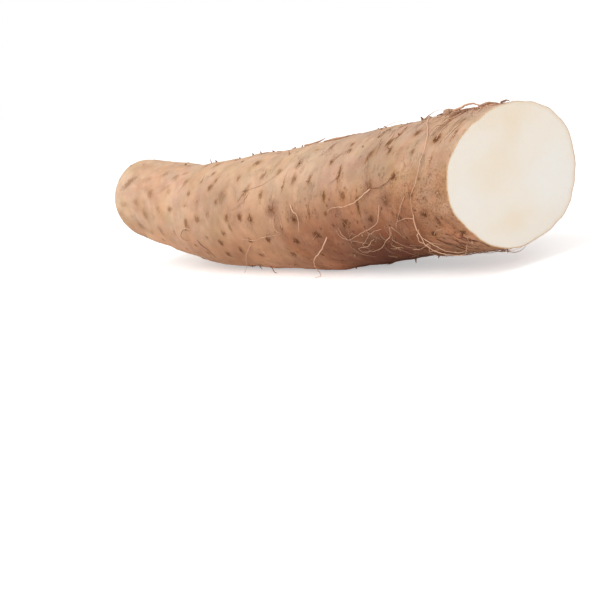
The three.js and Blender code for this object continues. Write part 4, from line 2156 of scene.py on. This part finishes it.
LOOSE_ROOTS = (
    HairRoot((
        (257, 180, 0.0), (255, 188, 0.5), (252, 194, 0.9), (246, 198, 1.2), (240, 200, 1.4),
        (233, 203, 1.2), (227, 204, 0.8), (223, 200, 0.5), (222, 193, 0.3),
    ), 0.40),
    HairRoot((
        (252, 201, 0.0), (248, 201, 0.6), (243, 204, 0.9), (238, 209, 0.9), (233, 215, 0.7),
        (235, 220, 0.3),
    ), 0.28),
    HairRoot((
        (258, 200, 0.0), (255, 208, 0.6), (250, 213, 1.0), (244, 219, 1.0), (237, 222, 0.8),
        (230, 220, 0.5),
    ), 0.38),
    HairRoot(((277, 196, 0.3), (272, 194, 0.6), (266, 196, 0.6), (263, 200, 0.5), (261, 205, 0.2)), 0.30),
    HairRoot(((275, 177, 0.0), (271, 186, 0.6), (268, 192, 0.6), (262, 202, 0.3)), 0.32),
    HairRoot(((258, 231, 0.2), (264, 229, 0.8), (270, 225, 0.8), (275, 222, 0.6), (279, 226, 0.4)), 0.34),
    HairRoot((
        (274, 216, 0.4), (277, 224, 1.0), (279, 233, 1.6), (285, 238, 2.0), (291, 234, 1.2),
    ), 0.40, 0.9),
    HairRoot((
        (266, 101, 0.3), (272, 113, 0.5), (279, 126, 0.5), (283, 140, 0.6), (284, 157, 0.8),
        (283, 167, 0.8), (280, 177, 1.0), (279, 184, 1.0), (278, 194, 1.2), (276, 201, 0.8),
    ), 0.38, 1.0),
    HairRoot((
        (278, 192, 0.5), (276, 203, 1.0), (275, 213, 1.2), (273, 223, 1.4), (277, 235, 2.4),
        (286, 240, 2.8), (294, 228, 1.2),
    ), 0.52, 0.95),
    HairRoot((
        (276, 206, 0.5), (272, 216, 1.5), (274, 224, 0.8), (270, 231, 1.0), (277, 230, 1.6),
    ), 0.42, 0.85, 0.9),
    HairRoot(((268, 160, 0.3), (263, 164, 0.4), (259, 166, 0.3), (252, 166, 0.3)), 0.42, 0.1, 0.6),
    HairRoot((
        (252, 166, 0.4), (245, 172, 1.2), (238, 175, 1.5), (230, 175, 1.2), (223, 175, 0.8),
        (220, 177, 0.6),
    ), 0.5, 0.9),
    HairRoot((
        (192, 166, 0.0), (195, 171, 1.2), (198, 175, 1.5), (197, 183, 1.0), (195, 190, 0.6),
    ), 0.55, 0.9),
    HairRoot(((176, 175, 0.0), (176, 180, 1.0), (176, 186, 1.0), (179, 190, 0.5)), 0.5, 0.85),
    HairRoot((
        (212, 199, 0.0), (208, 205, 2.0), (199, 213, 2.5), (193, 221, 2.5), (188, 236, 4.0),
        (186, 240, 12.0),
    ), 0.6, 0.95),
    # This dark loop is a pale hair root drawn dark as its painted shaded side; the short pale root after it
    # is its painted highlight.
    HairRoot((
        (94, 184, 0.0), (91, 184, 0.4), (88, 187, 0.5), (85, 192, 0.5), (86, 196, 0.4), (91, 196, 0.4),
        (95, 195, 0.2),
    ), 0.24, 0.1),
    # Painted highlight along the top of the hair root above.
    HairRoot(((92, 183, 0.2), (95, 182, 0.5), (99, 183, 0.3)), 0.44, 1.0),
    HairRoot(((101, 195, 0.1), (104, 202, 0.4), (107, 209, 0.4), (106, 221, 0.2)), 0.34, 0.1),
    HairRoot(((150, 200, 0.0), (142, 211, 1.2), (132, 226, 2.0), (120, 240, 4.5)), 0.4, 0.8),
    HairRoot(((145, 194, 0.0), (155, 195, 0.6), (166, 192, 0.8), (178, 191, 0.2)), 0.36, 0.85),
    HairRoot((
        (147, 158, 0.1), (152, 150, 0.2), (157, 147, 0.2), (166, 145, 0.2), (173, 140, 0.2),
        (180, 133, 0.2),
    ), 0.20, 0.45),
    HairRoot(((146, 236, 0.0), (146, 242, 3.0), (148, 246, 9.0)), 0.45, 0.3),
    HairRoot(((156, 150, 0.1), (153, 156, 0.2), (147, 163, 0.2), (140, 166, 0.2)), 0.20, 0.45),
    HairRoot((
        (224, 192, 0.2), (226, 200, 1.0), (230, 206, 1.2), (237, 210, 1.0), (240, 216, 0.6),
    ), 0.28, 0.6, 0.9),
    HairRoot((
        (243, 210, 0.4), (236, 214, 1.2), (229, 217, 0.8), (232, 221, 1.2), (239, 219, 0.8),
    ), 0.26, 0.8, 0.9),
    HairRoot(((256, 91, 0.0), (258, 90, 1.0), (261, 89, 2.0)), 0.6, 0.45),
    HairRoot(((261, 89, 2.0), (265, 89, 2.1), (270, 90, 0.9)), 0.22, 0.9),
    HairRoot(((231, 93, 0.2), (238, 90, 1.3), (247, 89, 0.3)), 0.28, 0.85),
    HairRoot((
        (192, 96, -0.3), (194, 89, 0.4), (199, 87, 0.5), (207, 88, 0.3), (213, 89, 0.0),
    ), 1.2, 0.5, 0.1),
    HairRoot(((174, 92, -0.4), (179, 89, 0.2), (183, 88, 0.6), (187, 87, 1.4)), 1.3, 0.4, 0.1),
    HairRoot((
        (275, 93, 0.6), (278, 91, 1.2), (282, 89, 2.3), (285, 88, 1.7), (288, 88, 0.4),
    ), 1.2, 0.7, 0.5),
    HairRoot(((287, 89, 0.4), (290, 88, 1.0), (293, 88, 0.9), (297, 88, 0.3)), 1.5, 0.40, 0.3),
    HairRoot((
        (282, 108, 0.2), (283, 101, 0.3), (282, 95, 0.4), (283, 89, 0.5), (287, 87, 0.3),
    ), 1.1, 0.2, 0.2),
    HairRoot(((286, 112, 0.2), (287, 104, 0.3), (285, 97, 0.3)), 0.8, 0.35, 0.2),
    HairRoot(((297, 86, 0.5), (299, 84, 1.1), (299, 81, 0.3)), 0.9, 0.3, 0.1),
    HairRoot(((298, 88, 0.8), (299, 84, 3.0), (299, 80, 5.0)), 0.16, 1.0),
    HairRoot(((294, 260, 0.0), (297, 266, 1.6), (297, 273, 2.0), (298, 277, 0.8)), 0.42, 0.35),
    HairRoot((
        (120, 20, 0.0), (128, 30, 1.5), (139, 33, 2.5), (146, 27, 1.5), (149, 18, 0.4),
    ), 0.42, 0.85),
    HairRoot((
        (205, 350, 0.0), (212, 338, 2.5), (224, 334, 3.0), (233, 340, 2.0), (236, 352, 0.5),
    ), 0.45, 0.9),
    HairRoot(((255, 40, 0.2), (249, 28, 1.5), (252, 15, 2.5), (262, 8, 2.5), (270, 12, 0.6)), 0.42, 0.85),
    HairRoot(((176, 60, 0.2), (186, 52, 0.8), (199, 50, 0.8), (210, 55, 0.3)), 0.4, 0.25),
)

MATS = (
    MattedRoots((280, 295), (100, 124), 12, 92, 10, (4, 11), 0.28, 0.1, (0.25, 0.55), 1),
    MattedRoots((241, 257), (92, 124), 12, 90, 14, (3, 8), 0.32, 0.1, (0.2, 0.5), 2),
    MattedRoots((264, 294), (84, 99), 44, 24, 30, (4, 12), 0.70, 0.6, (0.25, 0.95), 3),
    MattedRoots((270, 292), (50, 80), 16, 60, 40, (7, 18), 0.45, 0.8, (0.1, 0.6), 4),
    MattedRoots((262, 292), (218, 258), 30, 34, 18, (10, 22), 0.40, 1.0, (0.0, 0.5), 5),
    MattedRoots((210, 240), (300, 340), 12, 80, 25, (6, 14), 0.45, 0.4, (0.0, 0.5), 6),
    MattedRoots((222, 282), (196, 226), 18, 60, 60, (5, 12), 0.25, 0.6, (0.35, 0.9), 7),
    MattedRoots((280, 298), (212, 234), 14, 50, 24, (6, 14), 0.45, 0.6, (0.0, 0.3), 8),
)

STANDING_STUBS = (
    (66, 92, 1.1, 1.2),
    (89, 88, 2.2, 0.7),
    (94, 88, 1.2, 1.4),
    (115, 86, 1.0, 1.0),
    (130, 91, 1.2, 1.1),
    (144, 84, 1.3, 1.2),
    (161, 87, 1.9, 0.9),
    (163, 88, 1.1, 1.5),
    (231, 89, 1.5, 0.8),
    (256, 92, 2.3, 1.2),
)

CRUMB_HEAPS = (
    (273, 94, 1.2, 18, 3.0),
    (284, 91, 4.0, 8, 1.3),
    (298, 228, 2.0, 4, 1.6),
    (250, 110, 6.0, 6, 1.2),
    (240, 205, 8.0, 6, 1.1),
    (255, 30, 10.0, 8, 1.3),
)


# ---- the yam ----


@dataclass(frozen=True)
class Yam:
    """The whole yam: its body, its long, short and matted roots, their stubs, and crumbs of earth."""

    body: TuberBody = TuberBody(scars=ScarField(tuple(Scar(*row) for row in CHOSEN_SCARS)))
    loose: LooseRoots = LooseRoots("hair_roots", LOOSE_ROOTS)
    hairs: FineHairs = FineHairs()
    stubs: RootStubs = RootStubs(chosen=STANDING_STUBS)
    mats: tuple[MattedRoots, ...] = MATS
    crumbs: Crumbs = Crumbs(CRUMB_HEAPS)

    def build(self) -> list[Piece]:
        """Make every piece and hand it over.

        Returns:
            The pieces.
        """
        effects = SharedEffects()
        root_finish = RootFinish().build(effects)
        earth = RootFinish("dry_earth", paint(138, 102, 80), paint(204, 168, 142), 0.9).build(effects)
        grid, scars, offs, looks = self.body.shape()
        skin = self.body.skin(grid, offs, looks)
        skin.data.materials.append(SkinFinish().build(effects))
        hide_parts("tuber")
        flesh = self.body.flesh(grid)
        flesh.data.materials.append(FleshFinish().build(effects))

        bed = RootBed(grid, scars, root_tube_rule(), root_finish)
        matted = LooseRoots("matted_roots", tuple(strand for mat in self.mats for strand in mat.strands()), 5)
        rooted = [roots.build(bed) for roots in (self.loose, self.hairs, self.stubs, matted)]
        rooted.append(self.crumbs.build(grid, crumb_rule(), earth))
        hand_over(skin, Slot.SKIN)
        hand_over(flesh, Slot.FLESH)
        for piece in rooted:
            hand_over(piece, Slot.ROOTLET)
        return [skin, flesh, *rooted]


def main() -> None:
    """Dress the yam and set up the studio."""
    logging.basicConfig(level=logging.INFO, format="%(name)s %(message)s")
    noise.seed_set(STRAY_SEED)
    for piece in Yam().build():
        triangles = sum(len(face.vertices) - 2 for face in piece.data.polygons)
        LOG.info("%s: %d triangles", piece.name, triangles)
    Studio().build()


if __name__ == "__main__":
    main()
